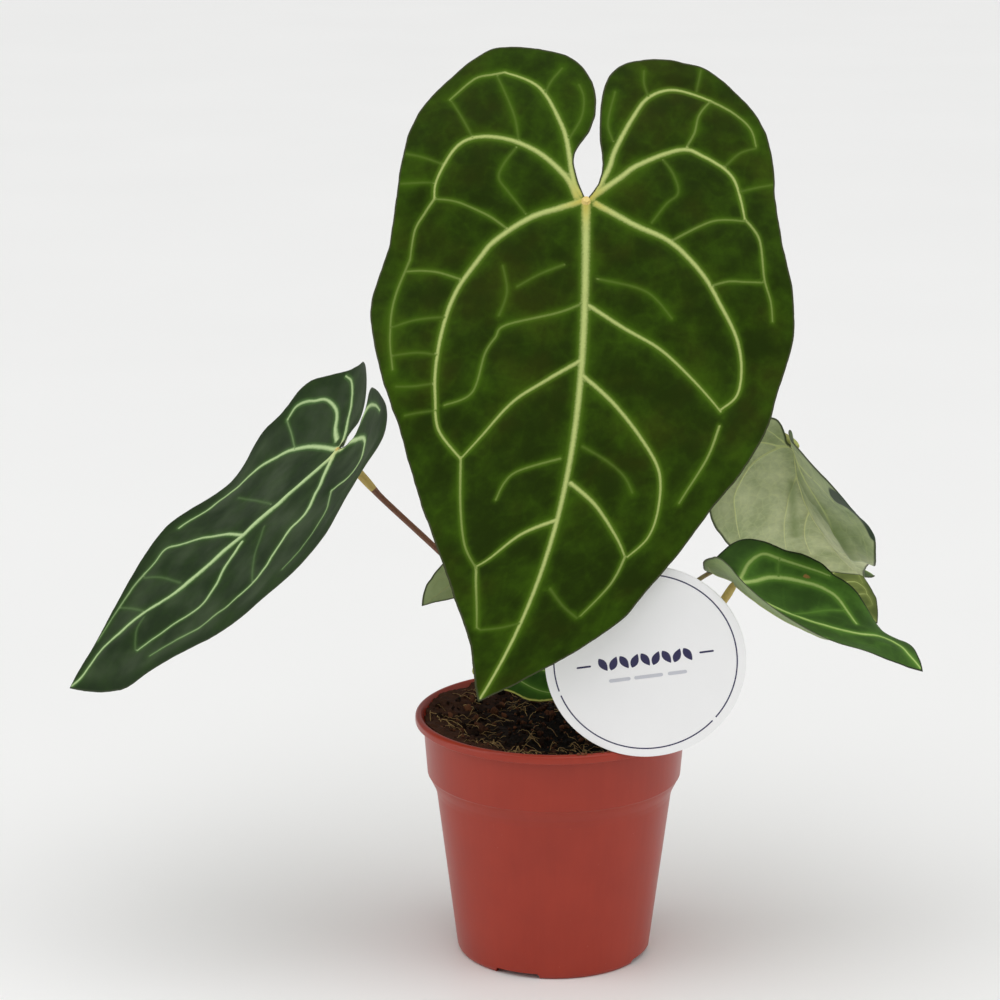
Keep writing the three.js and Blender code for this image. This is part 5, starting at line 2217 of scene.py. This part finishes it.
RIGHT_REAR = Leaf(
    Blade(
        "right_rear", (103.7, 20, 219.7), 98, heading=56, dip=48.5, roll=20, lobe_bend=-60,
        twist=14, sway=4.4, bow=-8,
        right=Half(1.15, 0.38, -81, 67, (-8, -11, -6, -12, 0, 9, 2), RIGHT_EDGE, RIGHT_VEINS),
        left=Half(1.04, 0.6, 12, -31, (0, 0, 3, -5, -5, 4, 3), LEFT_EDGE, (
            Vein(Rank.PRIMARY, ((-9, 12), (4, 28), (16, 42), (36, 55), (50, 63), (63, 65), (92, 69))),
            Vein(Rank.LATERAL, ((18, 0), (38, 3), (61, 13), (82, 21), (103, 30), (134, 41))),
            Vein(Rank.PRIMARY, ((7, 0), (-23, 12), (-45, 22))),
            Vein(Rank.PRIMARY, ((-2, 3), (-10, 16), (-20, 32), (-21, 48), (-11, 60), (2, 66))),
            Vein(Rank.LATERAL, ((90, 2), (108, 12), (128, 20), (152, 26))),
            Vein(Rank.FAINT, ((28, 2), (52, 24), (78, 46))),
        )),
        top=LeafTop(
            "leaf_grey", srgb(62, 80, 50), srgb(88, 104, 64), srgb(170, 184, 130),
            glow=srgb(98, 122, 62),
        ),
        # The underside's own pale green is raised much paler: painted light, for light that shines through
        # the thin blade.
        under=LeafUnder("leaf_grey_under_painted_backlight", srgb(232, 240, 192), srgb(138, 158, 98), srgb(236, 244, 174)),
        # Two folds sink the sheet and paint shade on its underside. The last stroke is a hem.
        strokes=(
            Stroke(Side.RIGHT, ((19, 14), (29, 38), (51, 59), (80, 64)), 5, 2.0),
            Stroke(Side.LEFT, ((46, 8), (80, 14), (120, 26)), 4, 1.0),
            Stroke(Side.RIGHT, ((-20, 68), (-14, 77), (4, 82), (22, 86), (40, 90)), 6, hem=True),
        ),
        seed=3, spacing=1.8, relief=0.8,
    ),
    Stalk(
        (98, 29, 223), 1.9, ((88, 31, 229), (62, 30, 237), (40, 22, 218), (25, 14, 165)), 40, 1.3,
        GREEN_STALK, GREEN_JOINT,
    ),
)
RIGHT_FRONT = Leaf(
    Blade(
        "right_front", (75.5, -34, 175.5), 86, heading=-17, dip=20, roll=47, bend=-3, lobe_bend=26,
        twist=-40, sway=20, bow=-15, fade=1,
        right=Half(0.98, 0.5, -34, 70, (1, -11, -12, -8, 0, 15, 9), RIGHT_EDGE, RIGHT_VEINS[:2]),
        left=Half(0.98, 0.5, 23, 45, (8, 17, 13, 8, 1, -22, 1), LEFT_EDGE, (
            Vein(Rank.PRIMARY, ((0, 4), (3, 21), (12, 38), (22, 53), (40, 61), (65, 65), (83, 63),
                                (96, 56), (113, 39), (124, 26))),
            Vein(Rank.LATERAL, ((0, 4), (0, 22), (-3, 39), (-4, 55), (4, 69), (21, 74), (52, 78),
                                (75, 79))),
            Vein(Rank.FAINT, ((-3, 2), (-20, 14), (-40, 22), (-50, 36))),
            Vein(Rank.FAINT, ((30, 58), (24, 66), (21, 74))),
            Vein(Rank.FAINT, ((60, 2), (74, 20), (88, 34), (104, 42))),
        )),
        top=LeafTop(
            "leaf_bright", srgb(46, 74, 24), srgb(76, 116, 40), srgb(176, 200, 118), srgb(40, 48, 30),
            net=0.2, velvet=0.04, gloss=0.12, glow=srgb(106, 148, 54), warm=srgb(48, 76, 20),
        ),
        under=LeafUnder("leaf_bright_under", srgb(140, 162, 100), srgb(104, 132, 66)),
        seed=4, spacing=1.7, relief=0.7, vein_width=1.7, marks=((-69, 53, 2.6), (-68, 58, 2)),
        midrib=((0, 0), (60, 0), (113, 0), (132, -4), (152, -16), (175, -14), (188, -6), (205, 0)),
    ),
    Stalk((69, -35, 165), 1.7, ((57, -29, 148), (38, -12, 128)), -35, 1.3, RED_STALK, YELLOW_JOINT),
)
SMALL_LEFT = Leaf(
    Blade(
        "small_left", (-20, 26, 174), 46, heading=184, dip=30, roll=-60, bend=14, lobe_bend=20,
        **young_halves(0.9, 8, -20),
        top=LeafTop("leaf_small_left", srgb(56, 80, 38), srgb(80, 106, 52), glow=srgb(92, 118, 58)),
        under=LeafUnder("leaf_small_left_under", srgb(178, 194, 140), srgb(138, 160, 98)),
        seed=5, spacing=1.3, relief=0.4, thickness=0.5,
    ),
    Stalk((-16, 20, 167), 1.4, ((-8, 17, 152), (5, 14, 128)), 135, 1.0, GREEN_STALK, GREEN_JOINT),
)
SMALL_RIGHT = Leaf(
    Blade(
        "small_right", (116, 80, 151), 41, heading=-4, dip=38, roll=-40, bend=10, lobe_bend=20,
        **young_halves(1.2, 8, -20),
        top=LeafTop("leaf_olive", srgb(80, 92, 46), srgb(104, 116, 60), glow=srgb(122, 132, 70)),
        under=LeafUnder("leaf_olive_under", srgb(108, 120, 68), srgb(90, 104, 54)),
        seed=6, spacing=1.3, relief=0.4, thickness=0.5,
    ),
    Stalk(
        (110, 78, 146.5), 1.4, ((99, 70, 146.5), (80, 53, 158), (62, 37, 155), (42, 24, 135)), 5, 1.0,
        GREEN_STALK, GREEN_JOINT,
    ),
)
SMALL_FRONT = Leaf(
    Blade(
        "small_front", (-20, -29, 138), 50, heading=-4, dip=10, roll=-24, bend=12, lobe_bend=20,
        **young_halves(0.85, 6, -24, veins=5),
        top=LeafTop(
            "leaf_fresh", srgb(44, 76, 24), srgb(70, 108, 36), srgb(158, 182, 104), srgb(170, 172, 88),
            glow=srgb(92, 134, 50),
        ),
        under=LeafUnder("leaf_fresh_under", srgb(120, 146, 82), srgb(98, 126, 60)),
        seed=7, spacing=1.3, relief=0.4, thickness=0.5,
    ),
    Stalk((-17, -24, 131), 1.4, ((-8, -15, 123), (6, -4, 117)), -95, 1.0, GREEN_STALK, GREEN_JOINT),
)
LEAVES = (FRONT_LARGE, LEFT, RIGHT_REAR, RIGHT_FRONT, SMALL_LEFT, SMALL_RIGHT, SMALL_FRONT)


def main() -> None:
    """Builds the plant, its pot and its label, and the studio round them."""
    logging.basicConfig(level=logging.INFO, format="%(message)s")
    pot = Pot()
    pot.build()
    soil = Soil()
    soil.build_bed(pot)
    soil.build_crumbs()
    soil.build_fibres()
    crown = Crown()
    crown.build_base()
    crown.build_scales()
    label = Label()
    label.build_disc()
    label.build_print()
    label.build_stick()
    for leaf in LEAVES:
        leaf.build()
    studio = Studio()
    studio.build_floor()
    studio.build_lights()
    studio.build_camera()


if __name__ == "__main__":
    main()
